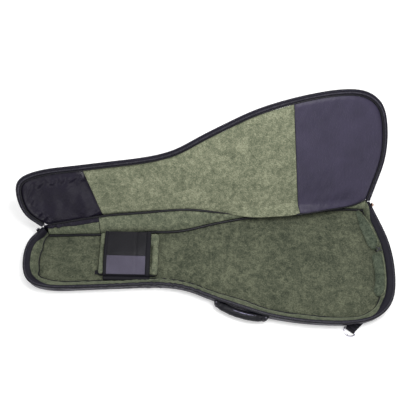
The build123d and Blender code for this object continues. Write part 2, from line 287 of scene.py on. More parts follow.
# ---- curves
def cubic(points, start=None, end=None, count=400):
    """Evenly spaced points of a smooth curve through the given ones, with tangents at its ends."""
    p = np.array(points, float)
    h = norm(np.diff(p, axis=0), axis=1)
    n = len(p)
    a, b = np.zeros((n, n)), np.zeros_like(p)
    for i in range(1, n - 1):
        a[i, i - 1 : i + 2] = h[i], 2 * (h[i - 1] + h[i]), h[i - 1]
        b[i] = 3 * (h[i] * (p[i] - p[i - 1]) / h[i - 1] + h[i - 1] * (p[i + 1] - p[i]) / h[i])
    for row, near, tangent, step, gap in ((0, 1, start, h[0], p[1] - p[0]),
                                          (n - 1, n - 2, end, h[-1], p[-1] - p[-2])):
        a[row, row] = 1
        if tangent is None:
            a[row, row], a[row, near] = 2, 1
            b[row] = 3 * gap / step
        else:
            b[row] = np.array(tangent, float) / norm(tangent)
    m = solve(a, b)
    t = np.linspace(0, 1, 60, endpoint=False)[:, None]
    runs = [
        (2 * t**3 - 3 * t**2 + 1) * p[i] + (t**3 - 2 * t**2 + t) * h[i] * m[i]
        + (3 * t**2 - 2 * t**3) * p[i + 1] + (t**3 - t**2) * h[i] * m[i + 1]
        for i in range(n - 1)
    ]
    return spaced(np.vstack([*runs, p[-1:]]), count)


def spaced(line, count):
    """The same line with points at even spacing."""
    line = np.asarray(line, float)
    along = np.r_[0, np.cumsum(norm(np.diff(line, axis=0), axis=1))]
    want = np.linspace(0, along[-1], count)
    return np.stack([np.interp(want, along, line[:, k]) for k in range(line.shape[1])], axis=1)


def arched(a, b, c, d, count):
    """Rows of points from one line to another, along Bezier arches with two handles each."""
    t = np.linspace(0, 1, count)[:, None, None]
    return ((1 - t) ** 3 * a[None] + 3 * (1 - t) ** 2 * t * b[None] + 3 * (1 - t) * t**2 * c[None]
            + t**3 * d[None])


def length_of(line):
    return float(norm(np.diff(line, axis=0), axis=1).sum())


def unit(v):
    return np.asarray(v, float) / norm(v)


def units(rows):
    """Each row as a unit vector."""
    return rows / norm(rows, axis=1)[:, None]


def tangents(line):
    return units(np.gradient(line, axis=0))


def left_normals(line):
    """Unit normals to the left of a plan curve."""
    t = tangents(line[:, :2])
    return np.stack([-t[:, 1], t[:, 0]], axis=1)


def step01(t):
    t = np.clip(t, 0, 1)
    return t * t * (3 - 2 * t)


def bell(x, centre, width):
    return np.exp(-(((x - centre) / width) ** 2))


def lifted(line, height):
    """Plan points with a height, the same for all or one each."""
    return np.column_stack([line, np.broadcast_to(height, len(line))])


def ripple(points, size, seed, count=14):
    """Smooth seeded noise from -1 to 1, made of waves of about one size, at each point."""
    random = np.random.RandomState(seed)
    points = np.asarray(points, float)
    total = np.zeros(len(points))
    for _ in range(count):
        way = random.normal(size=points.shape[1])
        way /= norm(way)
        pitch = 2 * pi / (size * random.uniform(0.6, 1.6))
        total += np.sin(points @ way * pitch + random.uniform(0, 6.28))
    return total / sqrt(count / 2) * 0.6


def distance(points, line):
    """Least distance in plan from each point to a dense line."""
    best = np.full(len(points), 1e9)
    for start in range(0, len(line), 60):
        part = line[start : start + 60, :2]
        gap = norm(points[:, None, :2] - part[None], axis=2).min(axis=1)
        best = np.minimum(best, gap)
    return best


def nearest(line, point):
    return int(np.argmin(norm(line[:, :2] - np.array(point), axis=1)))


# ---- plan of the bag
HEAD_CORNER = np.array((-557.0, 90.0))
FOOT_CORNER = np.array((594.0, 221.0))
HINGE_Z = 60.0
HINGE_LONG = float(norm(FOOT_CORNER - HEAD_CORNER))
HINGE_WAY = unit(FOOT_CORNER - HEAD_CORNER)
INWARD = np.array((HINGE_WAY[1], -HINGE_WAY[0]))
OPEN = radians(126)
HEAD_WAY, FOOT_WAY = unit((-0.62, -0.785)), unit((0.324, -0.946))
STATIONS = 440

head_end, foot_end = HEAD_CORNER + HEAD_WAY * 42, FOOT_CORNER + FOOT_WAY * 62
curved = cubic([
    head_end, (-604, -28), (-582, -92), (-525, -113), (-420, -112), (-260, -102), (-140, -97),
    (-55, -107), (20, -133), (110, -163), (210, -192), (300, -207), (425, -215), (510, -211),
    (583, -190), (632, -142), (651, -70), (653, 0), (641, 82), foot_end,
], HEAD_WAY, -FOOT_WAY, 1600)
# The path of the zip from corner to corner, and its stations' inward normals.
ZIP = spaced(np.vstack([HEAD_CORNER, curved, FOOT_CORNER]), STATIONS)
ZIP_IN = left_normals(ZIP)
ZIP_LONG = length_of(ZIP)
# The back panel's far edge.
BULGE = cubic([HEAD_CORNER, (-170, 135), (60, 165), (200, 197), (330, 223), (450, 231),
               FOOT_CORNER], HINGE_WAY, FOOT_WAY, 300)
# The front's lining seam beside the hinge, and the floor's far seam.
LID_SEAM = cubic([(-536, 84), (-504, 85), (-355, 88), (-253, 98), (-185, 106), (-64, 121),
                  (-13, 135), (72, 164), (107, 176), (159, 194), (231, 207), (332, 220),
                  (449, 225), (541, 223), (578, 214)])
FLOOR_SEAM = cubic([(-536, 76), (-513, 77), (-433, 81), (-343, 85), (-260, 91), (-172, 98),
                    (-102, 102), (-49, 112), (4, 127), (75, 145), (122, 155), (166, 164),
                    (260, 177), (360, 190), (450, 200), (530, 205), (578, 203)])


def inset(d):
    """The zip path moved inward."""
    return ZIP + ZIP_IN * d


def hinge_side(points):
    """How far each plan point is inside the hinge line."""
    return (points[:, :2] - HEAD_CORNER) @ INWARD


def opened(points):
    """Points of the closed front moved to where it stands open."""
    points = np.asarray(points, float)
    shape = points.shape
    p = points.reshape(-1, 3)
    u = hinge_side(p)
    along = (p[:, :2] - HEAD_CORNER) @ HINGE_WAY
    c, s = cos(OPEN), sin(OPEN)
    inward = u * c - p[:, 2] * s
    high = HINGE_Z + u * s + p[:, 2] * c
    plan = HEAD_CORNER + along[:, None] * HINGE_WAY + inward[:, None] * INWARD
    return np.column_stack([plan, high]).reshape(shape)


def seam_y(x):
    return np.interp(x, LID_SEAM[:, 0], LID_SEAM[:, 1])


def seam_part(low, high=inf):
    """The front's lining seam between two distances along the bag."""
    return LID_SEAM[(LID_SEAM[:, 0] > low) & (LID_SEAM[:, 0] < high)]


# ---- mesh makers
def add_piece(name, points, faces, body, look, replaces=(), slot=None, smooth=True, sharp=None):
    """A mesh piece from points in millimetres, attached to a body, or with its transform baked when
    given a blend across a joint.

    A piece with a CAD node's name stands for that node and is called its detail.
    """
    if name in frame["nodes"]:
        name, replaces = f"{name}_detail", (name, *replaces)
    usual_slot, material = LOOKS[look]
    slot = slot or usual_slot
    mesh = bpy.data.meshes.new(name)
    metres = np.asarray(points, float).reshape(-1, 3) * MM
    mesh.from_pydata(metres.tolist(), [], [list(map(int, f)) for f in faces])
    mesh.validate()
    mesh.materials.append(material)
    for polygon in mesh.polygons:
        polygon.use_smooth = smooth
    if sharp is not None:
        mesh.set_sharp_from_angle(angle=radians(sharp))
    obj = bpy.data.objects.new(name, mesh)
    bpy.context.scene.collection.objects.link(obj)
    if isinstance(body, str):
        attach(obj, body)
    elif body is not None:
        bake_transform(obj)
    if replaces:
        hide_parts(*replaces)
    return obj


def grid_faces(rows, columns, wrap=False, start=0, flip=False, loop=False):
    """Quads of a grid; wrap joins its last column to its first, loop its last row to its first."""
    faces = []
    for i in range(rows if loop else rows - 1):
        for j in range(columns if wrap else columns - 1):
            a, b = i * columns + j, i * columns + (j + 1) % columns
            c, d = ((i + 1) % rows) * columns + (j + 1) % columns, ((i + 1) % rows) * columns + j
            quad = [start + k for k in (a, b, c, d)]
            faces.append(quad[::-1] if flip else quad)
    return faces


def capped_faces(rows, sides, turned_caps=False):
    """Faces of rings joined in a row, with a face over each end."""
    last = (rows - 1) * sides
    caps = [list(range(sides)), list(range(last, last + sides))[::-1]]
    return grid_faces(rows, sides, True) + [cap[::-1] if turned_caps else cap for cap in caps]


def add_grid(name, grid, body, look, flip=False, **more):
    """A piece made of one grid of points."""
    return add_piece(name, grid, grid_faces(*grid.shape[:2], flip=flip), body, look, **more)


def tube_mesh(line, radius, sides=10, closed=False, squash=1.0):
    """Points and faces of a tube along a 3-D line, its ends covered."""
    line = np.asarray(line, float)
    tangent = tangents(line)
    if closed:
        tangent = units(np.roll(line, -1, axis=0) - np.roll(line, 1, axis=0))
    up = np.tile((0.0, 0.0, 1.0), (len(line), 1))
    up[np.abs(tangent[:, 2]) > 0.95] = (1.0, 0.0, 0.0)
    side = units(np.cross(tangent, up))
    up = np.cross(side, tangent)
    angle = np.linspace(0, 2 * pi, sides, endpoint=False)
    radius = np.broadcast_to(np.asarray(radius, float), (len(line),))
    ring = (side[:, None] * np.cos(angle)[None, :, None]
            + up[:, None] * (squash * np.sin(angle))[None, :, None])
    points = (line[:, None] + ring * radius[:, None, None]).reshape(-1, 3)
    if closed:
        return points, grid_faces(len(line), sides, True, loop=True)
    return points, capped_faces(len(line), sides)


def tube(name, line, radius, body, look, sides=10, closed=False, squash=1.0, **more):
    mesh = tube_mesh(line, radius, sides, closed, squash)
    return add_piece(name, *mesh, body, look, **more)


def joined(parts):
    """Several (points, faces) lists as one."""
    points, faces, start = [], [], 0
    for p, f in parts:
        p = np.asarray(p, float).reshape(-1, 3)
        points.append(p)
        faces += [[start + k for k in face] for face in f]
        start += len(p)
    return np.vstack(points), faces


def add_parts(name, parts, move, body, look, **more):
    """A piece made of several (points, faces) parts, their points moved by a function."""
    points, faces = joined(parts)
    return add_piece(name, move(points), faces, body, look, **more)


def swept(profile):
    """A profile of (inward, height) points carried along the zip path; it may change by station."""
    rows = []
    for i in range(STATIONS):
        p = np.asarray(profile(i) if callable(profile) else profile, float)
        rows.append(np.column_stack([ZIP[i] + p[:, :1] * ZIP_IN[i], p[:, 1]]))
    return np.array(rows)


def coons(bottom, top, left, right, across, up):
    """A grid of plan points filling four sides; left and right run from bottom to top."""
    b, t = spaced(bottom, across), spaced(top, across)
    l, r = spaced(left, up), spaced(right, up)
    u = np.linspace(0, 1, across)[None, :, None]
    v = np.linspace(0, 1, up)[:, None, None]
    flat = (1 - v) * b[None] + v * t[None] + (1 - u) * l[:, None] + u * r[:, None]
    corners = ((1 - u) * (1 - v) * b[0] + u * (1 - v) * b[-1] + (1 - u) * v * t[0]
               + u * v * t[-1])
    return flat - corners


def ribbon(path, xs):
    """A grid with a row for each (second, third) pair of the path and a column for each first."""
    grid = np.empty((len(path), np.shape(xs)[-1], 3))
    grid[..., 0] = xs
    grid[..., 1:] = np.asarray(path)[:, None]
    return grid


def rounded_box(size, radius, cuts=2, at=(0, 0, 0)):
    """Points and faces of a box with rounded edges."""
    bm = bmesh.new()
    bmesh.ops.create_cube(bm, size=1)
    bmesh.ops.scale(bm, vec=Vector(size), verts=bm.verts)
    bmesh.ops.bevel(bm, geom=bm.edges[:], offset=radius, segments=cuts, profile=0.5,
                    affect="EDGES")
    bm.verts.index_update()
    points = np.array([v.co for v in bm.verts])
    faces = [[v.index for v in f.verts] for f in bm.faces]
    bm.free()
    return points + at, faces


def teeth(path, pitch, size):
    """One interlocking tooth every pitch along a line of points."""
    line = spaced(path, int(length_of(path) / pitch))
    way = np.gradient(line, axis=0)
    points, faces = rounded_box(size, min(size) * 0.3, 1)
    parts = []
    for k in range(1, len(line) - 1):
        side = unit(way[k])
        x = unit(side + np.array([-side[1], side[0], 0]) * 0.25)
        z = np.array((0, 0, 1.0))
        z = unit(z - x * (z @ x))
        parts.append((line[k] + points @ np.array([x, np.cross(z, x), z]), faces))
    return joined(parts)


def local_frame(origin, x_way):
    """Moves points given along a plan direction, to its left and up, to the bag's frame."""
    x = unit((*x_way, 0.0))
    axes = np.array([x, np.cross(Z_UP, x), Z_UP])
    return lambda p: np.asarray(origin, float) + np.asarray(p, float) @ axes


# ---- soft making
def inflate(obj, pressure, voxel=4.0, cap=3.5, frames=20):
    """Swells a closed pad as cloth under pressure, caps how far it moved, and subdivides it."""
    scene = bpy.context.scene
    for o in bpy.context.view_layer.objects:
        o.select_set(False)
    bpy.context.view_layer.objects.active = obj
    obj.select_set(True)
    remesh = obj.modifiers.new("remesh", "REMESH")
    remesh.mode, remesh.voxel_size = "VOXEL", voxel * MM
    bpy.ops.object.modifier_apply(modifier=remesh.name)
    rest = np.array([v.co for v in obj.data.vertices])
    cloth = obj.modifiers.new("cloth", "CLOTH")
    settings = cloth.settings
    settings.use_pressure = True
    settings.uniform_pressure_force = pressure
    settings.effector_weights.gravity = 0
    settings.quality = 5
    settings.tension_stiffness = settings.compression_stiffness = 12
    settings.bending_stiffness = 1.5
    cloth.point_cache.frame_start, cloth.point_cache.frame_end = 1, frames
    for f in range(1, frames + 1):
        scene.frame_set(f)
    graph = bpy.context.evaluated_depsgraph_get()
    moved = np.array([v.co for v in obj.evaluated_get(graph).data.vertices])
    obj.modifiers.remove(cloth)
    scene.frame_set(1)
    if moved.shape == rest.shape and np.isfinite(moved).all():
        shift = moved - rest
        size = norm(shift, axis=1)[:, None]
        shift *= np.minimum(1, cap * MM / np.maximum(size, 1e-9))
        rest = rest + shift
    obj.data.vertices.foreach_set("co", rest.ravel())
    split = obj.modifiers.new("split", "SUBSURF")
    split.levels = split.render_levels = 1
    bpy.ops.object.modifier_apply(modifier=split.name)
    for polygon in obj.data.polygons:
        polygon.use_smooth = True


def roughen(obj, size, amount, seed):
    """Small lumps along the surface's own normals, amount in millimetres."""
    mesh = obj.data
    points = np.array([v.co for v in mesh.vertices])
    normals = np.array([v.normal for v in mesh.vertices])
    points += normals * (ripple(points / MM, size, seed) * amount * MM)[:, None]
    mesh.vertices.foreach_set("co", points.ravel())
    mesh.update()


def stuffed(obj, pressure, size, amount, seed):
    inflate(obj, pressure)
    roughen(obj, size, amount, seed)
    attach(obj, "tray")


# ---- the front: linings
LINING_IN, PIPE_IN = 17.0, 14.0
HEAD_LINE_X, FOOT_LINE_X = -346.0, 332.0
LID_RISE = 7.0
LINING_W = 1.5
CURL, CURL_IN, CURL_DOWN = 27.0, 0.506, 0.862
MOST_OVERHANG = 29.0
far_line = inset(LINING_IN)
inside = np.where((far_line[:, 1] < seam_y(far_line[:, 0])) & (far_line[:, 0] > -600))[0]
FIRST, LAST = int(inside[0]), int(inside[-1])
# The linings' edge along the zip.
FAR = far_line[FIRST : LAST + 1]
seam_u = hinge_side(LID_SEAM)


def overhang(points):
    """0 along the neck to 1 where the front's lining hangs furthest over the hinge line."""
    return np.clip(-np.interp(points[:, 0], LID_SEAM[:, 0], seam_u) / MOST_OVERHANG, 0, 1)


def curled(points):
    """Closed-front points, moved toward the tray beside the body where the edge hangs over."""
    t = CURL * overhang(points) * step01((20 - hinge_side(points)) / 50)
    points = points.copy()
    points[:, :2] += (t * CURL_IN)[:, None] * INWARD
    points[:, 2] -= t * CURL_DOWN
    return points


head_far, foot_far = nearest(FAR, (-373, -86)), nearest(FAR, (343, -206))
head_turn, foot_turn = nearest(FAR, (-574, -66)), nearest(FAR, (606, -150))
head_line = spaced([(HEAD_LINE_X, seam_y(HEAD_LINE_X)), FAR[head_far]], 90)
foot_line = spaced([(FOOT_LINE_X, seam_y(FOOT_LINE_X)), FAR[foot_far]], 120)


def lining_height(flat, puckered=False):
    """How far the lining stands toward the inside: full in the middle, low at edges and seams."""
    x, y = flat[:, 0], flat[:, 1]
    rim = distance(flat, FAR)
    seam = distance(flat, LID_SEAM)
    cross = np.minimum(distance(flat, head_line), distance(flat, foot_line))
    rise = LID_RISE * (1 - (1 - np.clip(rim / 17, 0, 1)) ** 2)
    edge = 1 - (1 - np.clip(seam / 15, 0, 1)) ** 2
    rise = np.minimum(rise, LID_RISE * (edge + (1 - edge) * overhang(flat)))
    rise -= 2.6 * bell(cross, 0, 4.5)
    rise += 1.1 * ripple(flat, 150, 3) + 0.45 * ripple(flat, 46, 5) * step01(rim / 10)
    # A shallow hollow where the neck strap lies when the bag is closed.
    beyond = np.hypot(np.clip(np.abs(x + 256) - 90, 0, None), np.clip(np.abs(y - 5) - 80, 0, None))
    rise -= 6.5 * step01(1 - beyond / 55)
    if puckered:
        slanted = np.sin((x * 0.8 + y * 0.6) / 4.6 + 1.4 * ripple(flat, 60, 9))
        rise += bell(rim, 24, 10) * (3.6 + 3.4 * slanted)
        fold = bell(x * 0.35 + y * 0.94, -62, 9)
        rise += (3.2 * fold + 2.0 * ripple(flat, 75, 12)) * step01((rim - 5) / 22)
    return rise


def lid_panel(name, sides, counts, look, seed, puckered=False):
    plan = coons(*sides, *counts)
    flat = plan.reshape(-1, 2)
    rise = lining_height(flat, puckered) + 0.22 * ripple(flat, 9, seed)
    grid = opened(curled(lifted(flat, LINING_W - rise))).reshape(*plan.shape[:2], 3)
    return add_grid(name, grid, "front", look, True)


lining_head = lid_panel(
    "front_lining_head",
    (np.vstack([FAR[:1], seam_part(FAR[0, 0], HEAD_LINE_X), head_line[:1]]),
     FAR[head_turn : head_far + 1], FAR[: head_turn + 1], head_line),
    (110, 90), "nylon_head", 21, puckered=True)
lining_centre = lid_panel(
    "front_lining_centre",
    (np.vstack([head_line[:1], seam_part(HEAD_LINE_X, FOOT_LINE_X), foot_line[:1]]),
     FAR[head_far : foot_far + 1], head_line, foot_line),
    (300, 150), "green", 22)
lining_foot = lid_panel(
    "front_lining_foot",
    (np.vstack([foot_line[:1], seam_part(FOOT_LINE_X, FAR[-1, 0]), FAR[-1:]]),
     FAR[foot_far : foot_turn + 1], foot_line, FAR[foot_turn:][::-1]),
    (130, 150), "nylon_foot", 23)


def seam_at(line, w):
    """A plan line in the closed front at given heights, curled and opened."""
    return opened(curled(lifted(line, w)))


# Stitched seams between the linings: a fine flat-felled ridge each.
for name, line in (("front_seam_head", head_line[2:-1]), ("front_seam_foot", foot_line[2:-1])):
    tube(name, seam_at(line, LINING_W - lining_height(line) - 0.4), 1.1, "front", "piping",
         sides=8, squash=0.7)

# Piping round the lining, inside the zip, and along the hinge side where it shows.
tube("front_inner_piping", opened(lifted(inset(PIPE_IN)[FIRST : LAST + 1], -1.6)), 2.3, "front",
     "piping")
line = seam_part(-534, 112)
tube("front_hinge_piping_neck", seam_at(line, -1.6),
     4.0 * step01((150 - line[:, 0]) / 190) ** 0.6 + 0.3, "front", "piping")
line = seam_part(318)
tube("front_hinge_piping_body", seam_at(line, 0.6 - 4.6 * overhang(line)), 3.6, "front", "piping")
line = seam_part(40, 326)
from_end = np.minimum(np.arange(len(line)) + 2, len(line) + 1 - np.arange(len(line)))
lining_roll = tube("front_lining_roll", seam_at(line, 2.2 - 4.0 * overhang(line)),
                   4.6 * np.clip(from_end / 14, 0.3, 1), "front", "green", sides=14)

# ---- the front: rim, zip and shell
# From the tape's outer edge over the rim's thin rolled edge.
LID_EDGE = [(3.6, 0.2), (2.2, -1.3), (0.2, -1.9), (-1.3, -0.6), (-1.8, 1.8), (-1.4, 4.4),
            (0.2, 6.4), (2.4, 7.6)]
RIM_THICK = 7.4
TOOTH_PITCH = 3.4


def back_height(d):
    """The front's thickness grows from its thin rim to the full padding further in."""
    return RIM_THICK + 15.0 * (1 - np.exp(-(np.asarray(d) - 2) / 26))


def hinge_height(points):
    """Thickness of the front along its hinge side, thin again toward both corners."""
    along = (np.asarray(points)[:, :2] - HEAD_CORNER) @ HINGE_WAY
    return RIM_THICK + 13.1 * step01(np.minimum(along, HINGE_LONG - along) / 80)


def keep_off_hinge(rows, least=1.0):
    """Points that fall past the hinge line are brought back onto it."""
    p = rows.reshape(-1, 3).copy()
    p[:, :2] += np.clip(least - hinge_side(p), 0, None)[:, None] * INWARD
    return p.reshape(rows.shape)


def zip_line(inward, height, least):
    """One line along the zip path, kept off the hinge."""
    return keep_off_hinge(swept([(inward, height)]), least)[:, 0]


side_rows = keep_off_hinge(swept(LID_EDGE + [(d, float(back_height(d))) for d in (6, 14, 20)]))
HINGE_LINE = spaced([HEAD_CORNER + HINGE_WAY * 6, FOOT_CORNER - HINGE_WAY * 6], 300)
zip_head, zip_foot = nearest(ZIP, (-584, -88)), nearest(ZIP, (622, -158))
inner = zip_line(26.0, 0.0, 1.0)[:, :2]
back_plan = coons(spaced([inner[0], inner[-1]], 50), inner[zip_head : zip_foot + 1],
                  inner[: zip_head + 1], inner[zip_foot:][::-1], 240, 110)
flat = back_plan.reshape(-1, 2)
rim_d = distance(flat, ZIP)
swell = (0.9 * ripple(flat, 210, 31) + 0.4 * ripple(flat, 60, 32)) * step01((rim_d - 26) / 30)
w_hinge = hinge_height(flat)
w = w_hinge + (back_height(rim_d) + swell - w_hinge) * step01((hinge_side(flat) + 4) / 26)
shell = [(side_rows, grid_faces(*side_rows.shape[:2])),
         (lifted(flat, w), grid_faces(*back_plan.shape[:2]))]
front_shell = add_parts("front_shell", shell, opened, "front", "shell", replaces=["front_foam"])

tube("front_seam_piping", opened(zip_line(-1.2, 5.4, 0)), 1.7, "front", "piping")
tape_rows = keep_off_hinge(swept([(2.4, 0.4), (4.5, -0.5), (8, -0.7), (11.5, -0.4), (14, 0.4)]),
                           0.6)
front_tape = add_grid("front_zip_tape", opened(tape_rows), "front", "tape", True)
# Fabric pieces that are single sheets, each with its grid of points and how it is held.
cuts = [(front_tape, tape_rows, "stretched")]
coil = teeth(zip_line(6.4, -1.5, 3), TOOTH_PITCH, (2.0, 5.2, 1.8))
add_parts("front_zip_coil", [coil], opened, "front", "coil", smooth=False)

# ---- the tray: wall
RIM_HIGH, RIM_SAG = 56.3, 6.1
FOOT_OF_WALL = 22.2
# How far in the rim's flat top reaches.
RIM_TOP = 8.2
ZIP_X, ZIP_Y = ZIP[:, 0], ZIP[:, 1]
along_zip = np.linspace(0, 1, STATIONS) * ZIP_LONG
from_corner = np.minimum(along_zip, ZIP_LONG - along_zip)
# Shares by station: the long near side, and the two ends of the bag.
NEAR = step01((-40 - ZIP_Y) / 50) * step01((ZIP_X + 600) / 60) * step01((655 - ZIP_X) / 90)
NEAR_SIDE = step01((-60 - ZIP_Y) / 50)
AT_HEAD, AT_FOOT = step01((-510 - ZIP_X) / 70), step01((ZIP_X - 560) / 70)
OFF_CORNER = step01((from_corner - 10) / 60)
RIM_Z = RIM_HIGH - RIM_SAG * NEAR
WALL_CREASE = bell(ZIP_X, -150, 170) * (ZIP_Y < 0)
# How far in the wall reaches and how far its rim leans out, along the near side and elsewhere.
NEAR_X = [-590, -476, -330, -178, 10, 137, 215, 348, 480, 523, 600, 640]
NEAR_IN = np.interp(ZIP_X, NEAR_X, [31, 21.5, 19.5, 20, 20, 26, 20.5, 21, 17, 15.5, 24, 34])
NEAR_LEAN = np.interp(ZIP_X, NEAR_X, [4, 6.5, 8.5, 8.5, 7.5, 5.5, 6.5, 7.5, 6.5, 5.5, 4, 1.5])
FAR_IN = 22.0 + (20.0 * AT_HEAD + 14.0 * AT_FOOT) * OFF_CORNER
WALL_IN = FAR_IN + (NEAR_IN - FAR_IN) * NEAR_SIDE
# How far down the black tape reaches; at the foot end the extra 16.5 is painted shade, black over
# the plush wall behind the bumper.
RIM_TAPE_AND_SHADE_WIDE = 8.6 + 12.5 * AT_HEAD + 16.5 * AT_FOOT * OFF_CORNER
END_FLARE = (2.0 * AT_HEAD + 1.5 * AT_FOOT) * step01((from_corner - 8) / 60)
FLARE = END_FLARE + (NEAR_LEAN - END_FLARE) * NEAR_SIDE
# How square the wall's rounded inner face is.
SQUARE = np.interp(ZIP_X, [-620, -540, -476, 420, 520, 600, 660],
                   [1.1, 1.5, 1.6, 1.6, 1.3, 1.1, 1.1])


def wall_rows(profile, size=(0.0, 0.0), seed=1):
    """A wall profile swept along the zip path, with soft creases pushed in and out."""
    rows = swept(profile)
    flat = rows.reshape(-1, 3)
    lumps = (ripple(flat * (1, 1, 0.6), 30, seed) * size[0]
             + ripple(flat * (1, 1, 2.2), 90, seed + 1) * size[1])
    slanted = np.column_stack([flat[:, 0] + flat[:, 2] * 0.9, flat[:, 2] * 0.4])
    lumps = lumps + ripple(slanted, 21, seed + 2) * 2.2 * np.repeat(WALL_CREASE, rows.shape[1])
    fade = np.repeat(step01(from_corner / 40), rows.shape[1])
    flat[:, :2] += np.repeat(ZIP_IN, rows.shape[1], axis=0) * (lumps * fade)[:, None]
    return rows


def outer_profile(i):
    """The padded outer face, from the floor's edge to the rim."""
    z, f = RIM_Z[i], FLARE[i]
    puff = step01(from_corner[i] / 60) * (1 - 0.7 * bell(ZIP[i, 0], 497, 34))
    return [(3.5, 1.0), (0.5, 1.6), (-1.5 * puff, 3.2), (-4.2 * puff, 8), (-5.8 * puff, 15),
            (-6.0 * puff, 24), (-4.8 * puff, 0.62 * z), (-3.0 * puff - 0.6 * f, 0.78 * z),
            (-1.6 - 0.9 * f, 0.9 * z), (-0.8 - f, z - 2.6), (0.4 - 0.97 * f, z - 0.9),
            (2.2 - 0.9 * f, z - 0.4)]


wall_outer = add_grid("tray_wall_outer", wall_rows(outer_profile, (0.45, 1.3), 41), "tray",
                      "shell", True, replaces=["wall_shell", "wall_foam"])


def wall_point(i, angle):
    """A point of the wall's rounded inner face, from its top at 0 to its foot at a right angle."""
    k = SQUARE[i]
    top = RIM_TOP - 0.9 * FLARE[i]
    d = top + (WALL_IN[i] - top) * sin(angle) ** k
    z = FOOT_OF_WALL + (RIM_Z[i] + 0.6 - FOOT_OF_WALL) * cos(angle) ** k
    return d, z


def rim_angle(i):
    """Where on the rounded face the black rim ends and the plush begins; at the foot end the black
    runs lower as painted shade.
    """
    share = (RIM_TAPE_AND_SHADE_WIDE[i] - RIM_TOP) / (WALL_IN[i] - RIM_TOP + 0.9 * FLARE[i])
    return asin(min(0.95, share) ** (1 / SQUARE[i]))


def inner_profile(i):
    """The plush inner face, from under the rim to the floor."""
    points = [wall_point(i, a) for a in np.linspace(rim_angle(i) * 0.92, pi / 2, 14)]
    bulge = 1.6 * np.sin(np.linspace(0, pi, 14))
    return [(d + g, z) for (d, z), g in zip(points, bulge)]


wall_lining = add_grid("tray_wall_lining", wall_rows(inner_profile, (0.5, 0.9), 51), "tray",
                       "green_painted_medium_shade", True, replaces=["wall_lining"])


def rim_tape(i):
    """The black tape, from the rim's edge over its top and down to the plush; at the foot end its
    lower part is painted shade.
    """
    z, f = RIM_Z[i], FLARE[i]
    low = [wall_point(i, a) for a in np.linspace(0.12, 1, 5) * rim_angle(i)]
    top = [(1.2 - 0.95 * f, z - 0.7), (2.4 - 0.9 * f, z + 0.3), (5 - 0.9 * f, z + 0.9),
           (7.4 - 0.9 * f, z + 1.2)]
    return top + [(d + 0.8, h + 0.9) for d, h in low] + [(low[-1][0] + 0.9, low[-1][1] - 0.8)]


tape_rows = wall_rows(rim_tape)
cuts.append((add_grid("tray_zip_tape", tape_rows, "tray", "tape", True), tape_rows, "stretched"))
coil_line = wall_rows(lambda i: [(3.9 - 0.9 * FLARE[i], RIM_Z[i] + 1.1)])[6:-6, 0]
coil = teeth(coil_line, TOOTH_PITCH, (2.0, 4.6, 1.7))
add_piece("tray_zip_coil", *coil, "tray", "coil", smooth=False)
tube("tray_rim_piping", wall_rows(lambda i: [(0.2 - FLARE[i], RIM_Z[i] - 0.2)])[:, 0], 1.9,
     "tray", "piping")

# ---- the tray: back panel and floor
FLOOR_SEAM_Z = 23.4
BACK_ROWS = 12
GUSSET_LOW, GUSSET_HIGH = 2.0, 53.0

near_floor = wall_rows(lambda i: [(WALL_IN[i], 22.6)])[:, 0, :2]
first, last = (nearest(near_floor, FLOOR_SEAM[k]) for k in (0, -1))
near_floor = near_floor[first : last + 1]
floor_head, floor_foot = nearest(near_floor, (-545, -70)), nearest(near_floor, (600, -148))
floor_plan = coons(FLOOR_SEAM, near_floor[floor_head : floor_foot + 1],
                   near_floor[: floor_head + 1], near_floor[floor_foot:][::-1], 330, 110)
flat = floor_plan.reshape(-1, 2)
edge = np.minimum(distance(flat, near_floor), distance(flat, FLOOR_SEAM))
floor_z = (20.4 + 2.2 * (1 - np.exp(-edge / 9)) + 0.8 * ripple(flat, 120, 61)
           + 0.3 * ripple(flat, 34, 62))
floor_lining = add_grid("tray_floor_lining",
                        lifted(flat, floor_z).reshape(*floor_plan.shape[:2], 3), "tray",
                        "green_painted_deep_shade", True, replaces=["back_panel_lining"])
tube("floor_seam_piping_near", lifted(near_floor, 23.6), 3.4, "tray", "piping",
     replaces=["floor_seam_cord"])
tube("floor_seam_piping_far", lifted(FLOOR_SEAM + INWARD * 5.0, FLOOR_SEAM_Z + 3.2), 4.4, "tray",
     "piping")

base_plan = coons(BULGE, ZIP[zip_head : zip_foot + 1], ZIP[: zip_head + 1], ZIP[zip_foot:][::-1],
                  200, 70)
flat = base_plan.reshape(-1, 2)
edge = np.minimum(distance(flat, ZIP), distance(flat, BULGE))
base_z = 0.4 + 2.2 * np.exp(-edge / 5) + 0.25 * (1 + ripple(flat, 140, 66)) * step01(edge / 30)
# The gusset rises from the back panel's far edge to the hinge line, puffed outward.
columns = np.arange(len(BULGE))
ends = np.clip(np.minimum(columns, columns[::-1]) / 16, 0, 1)
hinge_y = np.interp(BULGE[:, 0], HINGE_LINE[:, 0], HINGE_LINE[:, 1])
top = np.column_stack([BULGE[:, 0], hinge_y]) - INWARD * 1.2
gusset = []
for t in np.linspace(0, 1, BACK_ROWS):
    puff = 5.5 * sin(pi * min(1, t * 1.15)) * ends[:, None]
    plan = BULGE * (1 - t**1.5) + top * t**1.5 - INWARD * puff
    lumps = ripple(lifted(plan, t * 50), 55, 68) * 1.3 * sin(pi * t)
    plan = plan - INWARD * (lumps * ends)[:, None]
    gusset.append(lifted(plan, GUSSET_LOW + (GUSSET_HIGH - GUSSET_LOW) * t))
shell = joined([(lifted(flat, base_z), grid_faces(*base_plan.shape[:2])),
                (gusset, grid_faces(BACK_ROWS, len(BULGE), flip=True))])
back_shell = add_piece(
    "tray_back_shell", *shell, "tray", "shell",
    ["back_panel_shell", "back_panel_foam", "hinge_gusset_shell", "hinge_gusset_foam"])
around = np.vstack([inset(-2.0), (BULGE + left_normals(BULGE) * 2.0)[::-1]])
